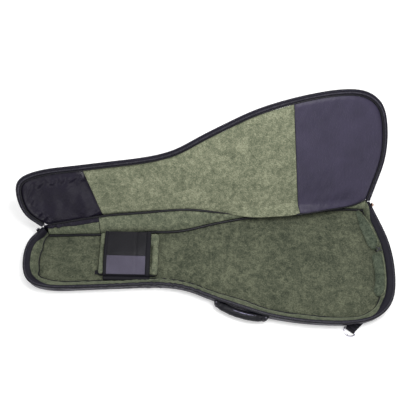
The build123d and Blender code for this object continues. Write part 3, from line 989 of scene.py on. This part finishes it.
around = spaced(np.vstack([around, around[:1]]), 900)[:-1]
tube("back_seam_piping", lifted(around, 4.4), 2.3, "tray", "piping", sides=8, closed=True)

# ---- the hinge: joining fabric
Z_UP = np.array((0, 0, 1.0))
IN3 = np.array((*INWARD, 0.0))
BAND_STATIONS, BAND_ROWS = 380, 26
PATCH_ROW = 18
BAND_SEAM_X = -361.0


def hinge_points(x, inward, z):
    """Rest points at stations x along the hinge line, given how far inside it and how high."""
    t = (np.asarray(x) - HEAD_CORNER[0]) / HINGE_WAY[0]
    return lifted(HEAD_CORNER + t[:, None] * HINGE_WAY + inward * INWARD, z)


def hinge_blend(low, high):
    """Blend from the tray to the front across two (inward, height) points of a hinge section."""
    start, end = (hinge_points([0.0], *p)[0] * MM for p in (low, high))
    return ("tray", "front", tuple(start), tuple(end))


BAND_BLEND = hinge_blend((14, 28), (-14, 78))
band_x = np.linspace(-538, 580, BAND_STATIONS)
floor_y = np.interp(band_x, FLOOR_SEAM[:, 0], FLOOR_SEAM[:, 1])
low_line = lifted(np.column_stack([band_x, floor_y]), FLOOR_SEAM_Z - 0.6)
lid_plan = np.column_stack([band_x, seam_y(band_x)])
# Beside the body the band ends under the overhanging lining instead of at its seam.
share = step01(overhang(lid_plan) * 1.6)[:, None]
high_line = opened(lifted(lid_plan, 1.2)) * (1 - share) + hinge_points(band_x, 9.0, 57.0) * share
toward_low = np.array((*(INWARD * 0.588), -0.809))
toward_eye = np.array((*(INWARD * 0.809), 0.588))
high_handle = (toward_low * 18 + toward_eye * 12) * (1 - share) + (IN3 * 6 - Z_UP * 6) * share
band = arched(low_line, low_line + Z_UP * 20 + IN3 * 3, high_line + high_handle, high_line,
              BAND_ROWS)
gather = bell(band_x, 60, 55) + bell(band_x, -520, 40) * 1.5 + 0.30
middle = np.sin(np.pi * np.linspace(0, 1, BAND_ROWS))[:, None]
flat = band.reshape(-1, 3)
creases = ripple(np.column_stack([flat[:, 0], flat[:, 2] * 0.35]), 17, 71)
creases = creases.reshape(BAND_ROWS, BAND_STATIONS) * gather[None] * middle * 3.6
soft = ripple(flat, 70, 72).reshape(BAND_ROWS, BAND_STATIONS) * middle * 2.4
band = band + (creases + soft)[..., None] * toward_eye
band = band - (bell(band_x, BAND_SEAM_X, 3.5)[None] * middle * 3.0)[..., None] * toward_eye
hinge_lining = add_grid("hinge_band_lining", band, BAND_BLEND, "green_wall", True,
                        replaces=["hinge_gusset_lining"])
# The head end's upper half of the band is black nylon, seamed over the plush.
last_head = int(np.where(band_x < BAND_SEAM_X)[0][-1])
patch = band[PATCH_ROW:, : last_head + 1] + toward_eye * 0.9
cuts.append((add_grid("hinge_band_head", patch, BAND_BLEND, "nylon_head", True), patch, "folded"))
tube("hinge_band_seam", spaced(band[2:-1, last_head] + toward_eye * 0.6, 40), 1.0, BAND_BLEND,
     "piping", sides=8)
tube("hinge_band_head_seam", patch[0] + toward_eye * 0.2, 0.9, BAND_BLEND, "piping", sides=8)

outer_x = np.linspace(-552, 588, 300)
top_tray = hinge_points(outer_x, -1.2, 52.8)
front_plan = hinge_points(outer_x, 1.0, 0.0)[:, :2]
top_front = opened(lifted(front_plan, hinge_height(front_plan) + 0.8))
band_out = arched(top_tray, top_tray + Z_UP * 7 - IN3 * 1.0, top_front + Z_UP * 7 + IN3 * 4,
                  top_front, 12)
outer_band = add_grid("hinge_band_outer", band_out, hinge_blend((-1.2, 53), (-17, 48)), "shell")
cuts.append((outer_band, band_out, "folded"))

# The front panel's own hinge-side edge, between its outer shell and its lining.
edge_plan = hinge_points(band_x, 1.2, 0.0)[:, :2]
edge_front = opened(lifted(edge_plan, hinge_height(edge_plan)))
edge_lining = seam_at(lid_plan, 2.4)
over = hinge_points(band_x, -6.0, 64.0) * share
near_top = hinge_points(band_x, 12.0, 60.5) * share
strip = arched(edge_front, (edge_front * 0.67 + edge_lining * 0.33) * (1 - share) + over,
               (edge_front * 0.33 + edge_lining * 0.67) * (1 - share) + near_top, edge_lining, 14)
add_grid("front_hinge_edge", strip, "front", "shell")

# ---- foot bumper
BUMPER_FLOOR = 23.4
BUMPER_SECTION = cubic([(-1, 3), (-1.6, 14), (0, 24), (3.5, 29), (9, 27), (17, 20), (28, 13),
                        (37, 6), (35, 1.0), (16, 0), (3, 0), (-1, 3)], count=25)[:-1]


def bolster(name, first, last, taper_start, taper_end, seed, middle):
    """A stuffed band along the inside of the foot end, with a lighter plush tube along its crest on
    the wall side as a painted highlight.
    """
    steps = np.linspace(first, last, 70)
    k = steps.astype(int).clip(0, STATIONS - 2)
    f = (steps - k)[:, None]
    base = ZIP[k] * (1 - f) + ZIP[k + 1] * f
    way = ZIP_IN[k] * (1 - f) + ZIP_IN[k + 1] * f
    s = np.linspace(0, 1, len(steps))
    taper_in, taper_out = np.clip(s / taper_start, 0.04, 1), np.clip((1 - s) / taper_end, 0.04, 1)
    wide = taper_in**0.55 * taper_out**0.55

    def ring(p, n, m, section):
        return [(*(p + n * (middle + (d - 15) * m)), BUMPER_FLOOR + h * m) for d, h in section]

    rows = np.array([ring(p, n, m, BUMPER_SECTION) for p, n, m in zip(base, way, wide)])
    obj = add_piece(name, rows, capped_faces(*rows.shape[:2]), None, "green_painted_deepest_shade")
    stuffed(obj, pressure=3.0, size=34, amount=0.8, seed=seed)
    # A lighter green tube along the crest: a painted highlight on the bumper.
    painted_highlight = np.array([ring(p, n, m, [(4.6, 29.4)])[0] for p, n, m in zip(base, way, wide)])
    tube(f"{name}_painted_highlight_edge", painted_highlight[3:-3], 2.2 * wide[3:-3], "tray", "green_wall", sides=8)


k_top = nearest(ZIP, FOOT_CORNER + FOOT_WAY * 6)
k_tuck = nearest(ZIP, (648, 49))
k_low = nearest(ZIP, (640, -150))
bolster("foot_bumper_upper", k_top, k_tuck + 1, 0.45, 0.14, 81, 43.0)
bolster("foot_bumper_lower", k_tuck - 1, k_low, 0.10, 0.12, 82, 41.0)
# Two crossed stitches hold the tuck between the lobes.
tuck_at = np.array((*(ZIP[k_tuck] + ZIP_IN[k_tuck] * 36), 50.5))
tuck_side = np.array((-ZIP_IN[k_tuck][1], ZIP_IN[k_tuck][0], 0))
tuck_parts = []
for turn in (0.7, -0.7):
    c, s = cos(turn), sin(turn)
    cross = np.array((*(ZIP_IN[k_tuck] * c), s * 0.4)) * c + tuck_side * s
    line = [tuck_at + cross * q + Z_UP * (-0.02 * q * q) for q in np.linspace(-13, 13, 20)]
    tuck_parts.append(tube_mesh(line, 1.3, 8))
add_piece("foot_bumper_tuck", *joined(tuck_parts), "tray", "stitch", slot="plush_green")


# ---- neck cradle and strap
def pad(name, x, y, z, round_by, look, seed):
    """A soft rectangular pad with rounded edges, swollen a little."""
    size = [(b - a) * MM for a, b in (x, y, z)]
    points, faces = rounded_box(size, round_by * MM, 4)
    centre = np.array([(a + b) / 2 for a, b in (x, y, z)])
    obj = add_piece(name, points / MM + centre, faces, None, look)
    stuffed(obj, pressure=4.0, size=26, amount=0.5, seed=seed)


pad("neck_cradle_base", (-354, -162), (-63, 80), (21, 30), 3.5, "green_painted_deep_shade", 91)
pad("neck_cradle_far_block", (-357, -159), (35, 81), (26, 47), 7, "green_wall", 92)
pad("neck_cradle_near_block", (-357, -159), (-64, -34), (26, 35), 4, "green_wall", 93)
for k, x in enumerate(((-357, -339), (-179, -156))):
    pad(f"neck_cradle_lobe_{k}", x, (-66, 82), (24, 44), 8.5, "green_wall", 95 + k)
edge_ring = [(-354, 79), (-356, -60), (-352, -64), (-164, -64), (-160, -60), (-160, 79)]
ring_line = [spaced(edge_ring[i : i + 2], 30 if i % 2 == 0 else 6)[:-1] for i in range(5)]
tube("neck_cradle_piping", lifted(np.vstack(ring_line), 24.6), 4.2, "tray", "piping")
for name, size, radius, at, body, look, sharp in (
    ("neck_loop_patch", (118, 1.8, 9), 0.7, (-261, -65.8, 28.6), "tray", "loop", 40),
    ("neck_hook_patch", (118, 1.6, 8), 0.6, (-261, -68.1, 29), "neck_strap", "loop", 40),
    ("cradle_anchor_tab", (14, 15, 3), 1.2, (-362, -57, 24.6), "tray", "webbing", 50),
):
    add_piece(name, *rounded_box(size, radius, at=at), body, look, sharp=sharp)

STRAP_X0, STRAP_X1 = -336.0, -186.0
STRAP_ROWS = 70
# The rows where its top ends and where its skirt ends.
STRAP_BEND, SKIRT_END = 36, 62
# The strap from its hinge on the far block, over the cradle and down its near side, as (y, z).
strap_line = cubic([(82, 54.0), (40, 56.2), (-2, 55.8), (-22, 51.5), (-58, 41.5), (-69, 36),
                    (-71, 30), (-70.8, 24.4)], count=STRAP_ROWS)


def strap_sheet(first, last, thick, seed):
    """A closed padded strip of the strap between two rows of its line."""
    line = strap_line[first:last]
    way = tangents(line)
    out = np.column_stack([-way[:, 1], way[:, 0]])
    out = np.where(out[:, 1:] < 0, -out, out)
    out[line[:, 0] < -69.5] = (-1, 0)
    xs = np.linspace(STRAP_X0, STRAP_X1, 60)
    grid = ribbon(line, xs)
    across = (xs - STRAP_X0) / (STRAP_X1 - STRAP_X0)
    puff = np.clip(np.sin(np.pi * across), 0, 1) ** 0.5
    flat = grid.reshape(-1, 3)
    folds = 0.5 * ripple(flat, 60, seed) - bell(flat[:, 0], -232, 4.0) * 0.9
    up = folds.reshape(len(line), len(xs)) + 1.1 * puff[None]
    top, low = grid.copy(), grid
    top[..., 1:] += out[:, None] * up[..., None]
    low[..., 1:] -= out[:, None] * thick
    n, m = top.shape[:2]
    faces = grid_faces(n, m) + grid_faces(n, m, start=n * m, flip=True)
    ring = [j for j in range(m)] + [i * m + m - 1 for i in range(1, n)]
    ring += [(n - 1) * m + j for j in range(m - 2, -1, -1)] + [i * m for i in range(n - 2, 0, -1)]
    for a, b in zip(ring, ring[1:] + ring[:1]):
        faces.append([b, a, n * m + a, n * m + b])
    return np.vstack([top.reshape(-1, 3), low.reshape(-1, 3)]), faces


strap_top = add_piece("neck_strap_top", *strap_sheet(0, STRAP_BEND + 1, 2.2, 101),
                      "neck_strap", "strap", ["neck_strap_panel"], sharp=60)
# The turned-down part of the strap in the lighter grey copy: painted sheen.
strap_low = add_piece("neck_strap_painted_sheen", *strap_sheet(STRAP_BEND, SKIRT_END + 1, 2.0, 102),
                      "neck_strap", "strap_skirt", sharp=60)
add_piece("neck_strap_hem", *strap_sheet(SKIRT_END, STRAP_ROWS, 3.0, 103),
          "neck_strap", "binding", sharp=60)

# Bindings folded over the strap's two long edges and its free end; the free end's binding is drawn
# 18 mm across, the real binding with the shade under the strap's end painted into its black.
circle = np.linspace(0, 2 * pi, 14, endpoint=False)
side = np.array((1.0, 0, 0))
binding_and_shade_parts = []
for x, half, x_in in ((STRAP_X0 + 0.6, 5.5, 0.7), (STRAP_X1 - 0.6, 8.5, -3.7)):
    line = np.column_stack([np.full(STRAP_ROWS, x), strap_line])
    rings = []
    for p, way in zip(line, tangents(line)):
        up = np.cross(side, way)
        up = up if up[2] > 0 or abs(up[2]) < 0.2 and up[1] < 0 else -up
        rings.append([p + side * (x_in + half * cos(a)) + up * 3.2 * sin(a)
                      for a in circle])
    binding_and_shade_parts.append((rings, capped_faces(STRAP_ROWS, len(circle))))
end_line = [(x, -78.0, 27.5) for x in np.linspace(STRAP_X0 - 3, STRAP_X1 + 3, 40)]
binding_and_shade_parts.append(tube_mesh(end_line, 9.0, 20))
add_piece("neck_strap_bindings", *joined(binding_and_shade_parts), "neck_strap", "binding")
seam_z = strap_line[STRAP_BEND, 1] + 0.3 + 0.6 * np.sin(np.linspace(0, pi, 40)) ** 0.5
seam_x = np.linspace(STRAP_X0 + 4, STRAP_X1 - 4, 40)
line = np.column_stack([seam_x, np.full(40, strap_line[STRAP_BEND, 0]), seam_z])
tube("neck_strap_seams", line, 0.8, "neck_strap", "binding", sides=6)

# ---- carry handle
HANDLE_WAY = np.array((0.959, -0.283))
HANDLE_OUT, HANDLE_BOW, HANDLE_HALF = 21.5, 10.5, 77.6
GRIP_END = 77.0
to_handle = local_frame((128, -170, 30), -HANDLE_WAY)


def handle_y(x):
    """How far the bowed handle stands out at a point along it."""
    return HANDLE_OUT - HANDLE_BOW * (x / HANDLE_HALF) ** 2


def handle_line(end, count):
    x = np.linspace(-end, end, count)
    return np.column_stack([x, handle_y(x), np.zeros(count)])


grip_line = handle_line(GRIP_END, 90)
s = np.abs(grip_line[:, 0]) / GRIP_END
grip_r = 11.0 + 3.6 * np.sqrt(np.clip(1 - s**4, 0, 1)) - 0.9 * bell(s, 0.78, 0.05)
grip = add_parts("handle_grip", [tube_mesh(grip_line, grip_r, 26, squash=0.76)], to_handle,
                 "handle", "grip")
roughen(grip, 16, 0.35, 111)
for k, where in enumerate((-60, 60)):
    cuff = tube_mesh(grip_line[np.abs(grip_line[:, 0] - where) < 5.5], 14.3, 26, squash=0.77)
    add_parts(f"handle_cuff_{k}", [cuff], to_handle, "handle", "binding", slot="webbing")
# A thin raised seam along the grip's top inner edge, drawn light grey-violet as a painted
# highlight.
painted_highlight = [(x, handle_y(x) - 2.2, 9.9) for x in np.linspace(-60, 38, 40)]
painted_highlight_r = 1.5 * np.clip(np.sin(np.linspace(0.05, pi - 0.05, 40)), 0, 1) ** 0.4
add_parts("handle_grip_painted_highlight", [tube_mesh(painted_highlight, painted_highlight_r, 8)], to_handle, "handle", "painted_highlight")
core = tube_mesh(handle_line(77.5, 40), 5.0, 12, squash=0.8)
add_parts("handle_webbing_core", [core], to_handle, "handle", "webbing")

TAB_OUTLINE = cubic([(74, -7), (74, 14), (76.5, 19.5), (81.5, 20.5), (86.5, 17), (90.5, 10),
                     (92.5, 2), (92.5, -7)], count=30)
TAB_LAYERS = ((-13, -0.8), (-12.2, 0), (12.2, 0), (13, -0.8))
RIVET_RINGS = ((0.01, 1.9), (1.8, 1.7), (2.9, 1.1), (3.5, 0.3), (3.5, -0.8))
CROSS_BOX = (((1, -9), (17, 9)), ((1, 9), (17, -9)), ((1, -9), (1, 9)), ((17, -9), (17, 9)))
circle = np.linspace(0, 2 * pi, 20, endpoint=False)
cross_from, cross_out = np.array((84.0, 19.6)), np.array((0.88, 0.47))
cross_along = unit(np.array((93.0, 2.0)) - cross_from)
tab_parts, rivet_parts, cross_parts = [], [], []
for side, longer in ((-1, 1.3), (1, 1.0)):
    plan = ((TAB_OUTLINE - (74, 0)) * (longer, 1) + (74, 0)) * (side, 1)
    way = units(plan - plan.mean(axis=0))
    rows = np.array([lifted(plan + way * grow, z) for z, grow in TAB_LAYERS])
    tab_parts.append((rows, capped_faces(*rows.shape[:2], turned_caps=True)))
    for ends in CROSS_BOX:
        line = [cross_from + cross_along * q[0] + cross_out * 0.5 for q in ends]
        points = [(side * p[0], p[1], q[1]) for p, q in zip(line, ends)]
        cross_parts.append(tube_mesh(spaced(points, 8), 0.7, 6))
    middle = np.array((side * (74 + 10.6 * longer), 10.5, 12.6))
    normal = np.array((side * 0.2, 0.3, 0.933))
    level = np.array((side * 0.832, -0.555, 0))
    upright = np.cross(normal, level) * side
    rings = np.array([[middle + normal * h + level * r * cos(q) + upright * r * sin(q)
                       for q in circle] for r, h in RIVET_RINGS])
    rivet_parts.append((rings, grid_faces(*rings.shape[:2], True)))
add_parts("handle_tabs", tab_parts, to_handle, "tray", "webbing", sharp=35)
add_parts("handle_rivets", rivet_parts, to_handle, "tray", "gunmetal", slot="ring_metal")
add_parts("handle_tab_stitches", cross_parts, to_handle, "tray", "stitch")
stitch_parts = []
for x in np.arange(-52, 53, 4.2):
    y = handle_y(x) - 12.2
    stitch_parts.append(tube_mesh([(x - 1.3, y - 0.3, 3), (x, y - 0.7, 3), (x + 1.3, y - 0.3, 3)],
                                  0.5, 6))
add_parts("handle_grip_stitches", stitch_parts, to_handle, "handle", "stitch")

# ---- strap rings and tabs
RING_HALF, RING_WIRE = 20.0, 2.4
TAB_SECTION = [(46.0, 1.7), (30, 1.6), (14, 1.8), (6, 3.2), (2.5, 4.4), (-1.5, 4.3), (-4.2, 2.4),
               (-4.8, 0), (-4.2, -2.4), (-1.5, -4.2), (2.5, -4.2), (6, -3.2), (14, -1.9),
               (30, -1.7), (46, -1.7)]


def strap_ring(name, origin, degrees, body):
    """A bent-wire D-ring in the folded end of its webbing tab."""
    turn = radians(degrees)
    to_bag = local_frame(origin, (cos(turn), sin(turn)))
    loop = [(x, 0.0) for x in np.linspace(-RING_HALF + 2.5, RING_HALF - 2.5, 14)]
    loop += [(RING_HALF * cos(a), -RING_HALF * sin(a) - 0.6)
             for a in np.linspace(0.06, pi - 0.06, 48)]
    loop = spaced(loop + loop[:1], 120)[:-1]
    wire = tube_mesh(lifted(loop, 0.0), RING_WIRE, 14, closed=True)
    add_parts(f"{name}_ring", [wire], to_bag, body, "steel")
    outer = cubic(TAB_SECTION, count=60)
    inner = outer * np.where(outer[:, :1] > 10, (1, 0.2), (0.62, 0.62))
    xs = np.linspace(-1, 1, 26)
    parts = []
    for path, flip in ((outer, False), (inner, True)):
        width = np.interp(path[:, 0], [-5, 3, 46], [16, 16, 25])
        grid = ribbon(path, width[:, None] * xs[None])
        parts.append((grid, grid_faces(*grid.shape[:2], flip=flip)))
    n, m = len(outer), len(xs)
    points, faces = joined(parts)
    for j in (0, m - 1):
        for i in range(n - 1):
            quad = [i * m + j, (i + 1) * m + j, n * m + (i + 1) * m + j, n * m + i * m + j]
            faces.append(quad if j else quad[::-1])
    add_piece(f"{name}_tab", to_bag(points), faces, "tray", "webbing", sharp=60)
    lines = []
    for y in (9.0, 12.0, 26.0):
        half = 14.5 + (y - 3) * 0.2
        lines.append(tube_mesh(to_bag([(q, y, 2.3) for q in np.linspace(-half, half, 16)]),
                               0.55, 6))
    add_piece(f"{name}_tab_stitches", *joined(lines), "tray", "stitch")


strap_ring("near_strap", (497, -233, 4.8), -35, "near_ring")
strap_ring("far_strap", (501, 258, 4.8), 215, "far_ring")

low, high = (np.array(c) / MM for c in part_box("foot_webbing_tab"))
stub = cubic([(low[0] - 6, 45.2), (high[0] - 4, 45.0), (high[0] - 0.8, 42.8), (high[0], 40.0),
              (high[0] - 0.8, 37.2), (high[0] - 4, 35.0), (low[0] - 6, 34.8)], count=36)
grid = ribbon(stub, np.linspace(low[1] + 0.4, high[1] - 0.4, 12))[..., [1, 0, 2]]
caps = [[i * 12 for i in range(36)], [i * 12 + 11 for i in range(36)][::-1]]
add_piece("foot_webbing_tab", grid, grid_faces(36, 12) + caps, "tray", "webbing", sharp=60)


# ---- zip sliders
def pull_loop(right, tip, count):
    """The wire loop of a pull, mirrored about its middle."""
    return cubic(right + [tip] + [(-x, y) for x, y in right[::-1]], count=count)


def bridge(half, height, count):
    """A half ellipse of (along, up) points over a slider's plates."""
    xs = np.linspace(-half, half, count)
    return [(x, height * sqrt(max(0, 1 - (x / half) ** 2))) for x in xs]


def slider(name, corner, along, face, bodies, look):
    """A zip slider outside the rim: two plates, a bridge, and a pull with a flat metal puller."""
    to_bag = local_frame((*(corner + along * 16), HINGE_Z), face)
    arch = [(x, 4.2 + y, 0) for x, y in bridge(5.2, 3.6, 18)]
    parts = [rounded_box((13.4, 2.0, 11.0), 0.9, at=(0, 3.5, -0.8)),
             rounded_box((8.5, 2.2, 3.0), 0.9, at=(0, 3.6, 3.6)),
             rounded_box((9.6, 1.8, 2.0), 0.6, at=(0, 1.5, -5.5)),
             tube_mesh(arch, 1.0, 10)]
    add_parts(f"{name}_slider", parts, to_bag, bodies[0], look, sharp=40)
    loop = pull_loop([(3.1, -1), (3.0, -8), (2.9, -20), (2.6, -26)], (0, -29), 50)
    pull = [tube_mesh([(x, 6.2, 0) for x in np.linspace(-3.6, 3.6, 6)], 0.95, 10),
            tube_mesh([(x, 6.2, z) for x, z in loop], 0.85, 8),
            rounded_box((4.4, 1.5, 15), 0.6, at=(0, 6.2, -14))]
    add_parts(f"{name}_pull", pull, to_bag, bodies[1], look, sharp=40)


slider("foot_zip", FOOT_CORNER, FOOT_WAY, FOOT_WAY, ("foot_slider", "foot_pull"), "bronze")
slider("head_zip", HEAD_CORNER, HEAD_WAY, -HEAD_WAY, ("head_slider", "head_pull"), "gunmetal")

# ---- accessory pocket on the front
POCKET_IN, POCKET_X = 48.0, 190.0
POCKET_ZIP_X, POCKET_START_Y = 222.0, -78.0
POCKET_LOW, POCKET_THICK = 26.0, 14.5

edge_line = zip_line(POCKET_IN, 0.0, POCKET_IN)[:, :2]
edge_line = edge_line[edge_line[:, 0] > POCKET_X]
turn_k = nearest(edge_line, (596, -118))
far_y = (HEAD_CORNER[1] + (POCKET_X - HEAD_CORNER[0]) * HINGE_WAY[1] / HINGE_WAY[0]
         - POCKET_IN / HINGE_WAY[0])
far_end = (POCKET_X, far_y)
pocket_plan = coons([far_end, edge_line[-1]], edge_line[: turn_k + 1], [far_end, edge_line[0]],
                    edge_line[turn_k:][::-1], 120, 100)
border = np.vstack([spaced(edge_line, 300), spaced([edge_line[-1], far_end], 120),
                    spaced([far_end, edge_line[0]], 90)])
flat = pocket_plan.reshape(-1, 2)
edge = distance(flat, border)
w = (POCKET_LOW + POCKET_THICK * (1 - (1 - np.clip(edge / 15, 0, 1)) ** 2.4) ** 0.6
     + 1.2 * ripple(flat, 120, 121) * step01(edge / 20) + 0.5 * ripple(flat, 34, 122)
     * step01(edge / 8))
w -= (1.6 * bell(flat[:, 0], POCKET_ZIP_X, 9) * step01((flat[:, 1] + 100) / 12)
      * step01((122 - flat[:, 1]) / 12))
parts = [(lifted(flat, w), grid_faces(*pocket_plan.shape[:2])),
         ([lifted(border, 18.0), lifted(border, POCKET_LOW)],
          grid_faces(2, len(border), flip=True))]
pocket = add_parts("pocket_panel", parts, opened, "front", "shell")
tube("pocket_piping", opened(lifted(border[:-1], 26.6)), 2.0, "front", "piping", sides=8)
grid = np.array([[(POCKET_ZIP_X + x, y, 40.6 + 1.1 * (1 - (x / 11) ** 2))
                  for y in np.linspace(-95, 115, 60)] for x in np.linspace(-11, 11, 9)])
add_grid("pocket_zip_tape", opened(grid), "front", "tape")
line = np.array([(POCKET_ZIP_X, y, 42.2) for y in np.linspace(-90, 110, 50)])
add_parts("pocket_zip_coil", [teeth(line, 3.2, (1.9, 5.4, 1.7))], opened, "front", "coil",
          smooth=False)
arch = [(POCKET_ZIP_X + x, POCKET_START_Y, 46.0 + z) for x, z in bridge(4.8, 3.4, 16)]
parts = [rounded_box((11, 14, 1.9), 0.9, at=(POCKET_ZIP_X, POCKET_START_Y, 45.4)),
         tube_mesh(arch, 0.9, 8)]
add_parts("pocket_slider", parts, opened, "pocket_slider", "bronze", sharp=40)
turn = radians(-144)
pin = np.array((POCKET_ZIP_X, POCKET_START_Y, 47.9))


def hung(points):
    """Points of the pocket's pull as drawn along -Y, turned to hang straight down."""
    p = np.asarray(points, float)
    y = p[:, 1] * cos(turn) - p[:, 2] * sin(turn)
    z = p[:, 1] * sin(turn) + p[:, 2] * cos(turn)
    return opened(np.column_stack([p[:, 0], y, z]) + pin)


loop = pull_loop([(2.9, 0), (2.8, -8), (2.7, -20), (2.4, -25)], (0, -27.5), 44)
pull = [tube_mesh([(x, 0, 0) for x in np.linspace(-3.4, 3.4, 6)], 0.9, 10),
        tube_mesh(lifted(loop, 0.0), 0.8, 8),
        rounded_box((4.2, 14, 1.4), 0.6, at=(0, -14, 0))]
add_parts("pocket_pull", pull, hung, "pocket_pull", "bronze", sharp=40)

# ---- floor and light
FLOOR_HALF, FLOOR_Z = 40, -0.0005


def make_floor():
    mesh = bpy.data.meshes.new("floor")
    corners = [(x * FLOOR_HALF, y * FLOOR_HALF, FLOOR_Z)
               for x, y in ((-1, -1), (1, -1), (1, 1), (-1, 1))]
    mesh.from_pydata(corners, [], [(0, 1, 2, 3)])
    floor = bpy.data.objects.new("floor", mesh)
    material = bpy.data.materials.new("floor")
    material.use_nodes = True
    shader = material.node_tree.nodes["Principled BSDF"]
    shader.inputs["Base Color"].default_value = (0.98, 0.98, 0.98, 1)
    shader.inputs["Roughness"].default_value = 0.9
    shader.inputs["Emission Color"].default_value = (1, 1, 1, 1)
    shader.inputs["Emission Strength"].default_value = 0.16
    mesh.materials.append(material)
    bpy.context.scene.collection.objects.link(floor)


def area_light(name, place, aim, size, power):
    data = bpy.data.lights.new(name, "AREA")
    data.shape, data.size, data.energy = "DISK", size, power
    light = bpy.data.objects.new(name, data)
    light.location = place
    light.rotation_mode = "QUATERNION"
    light.rotation_quaternion = (Vector(place) - Vector(aim)).to_track_quat("Z", "Y")
    bpy.context.scene.collection.objects.link(light)


make_floor()
area_light("key", (0.35, 0.02, 1.65), (0.15, 0.12, 0), 0.8, 21)
area_light("back", (-0.6, 1.5, 2.2), (0.0, 0.2, 0), 1.8, 12)
area_light("side", (-1.8, -0.9, 1.6), (0, 0.1, 0), 1.6, 12)
area_light("front", (0.5, -2.4, 0.9), (0.1, -0.1, 0), 1.6, 14)
world = bpy.data.worlds.new("world")
world.use_nodes = True
world.node_tree.nodes["Background"].inputs["Color"].default_value = (1, 1, 1, 1)
world.node_tree.nodes["Background"].inputs["Strength"].default_value = 0.52
bpy.context.scene.world = world
bpy.context.scene.view_settings.view_transform = "Standard"

# ---- declarations and finish
for obj, grid, held in cuts:
    grid = np.asarray(grid) * MM
    size_a = norm(np.diff(grid, axis=0), axis=2).sum(axis=0).mean()
    size_b = norm(np.diff(grid, axis=1), axis=2).sum(axis=1).mean()
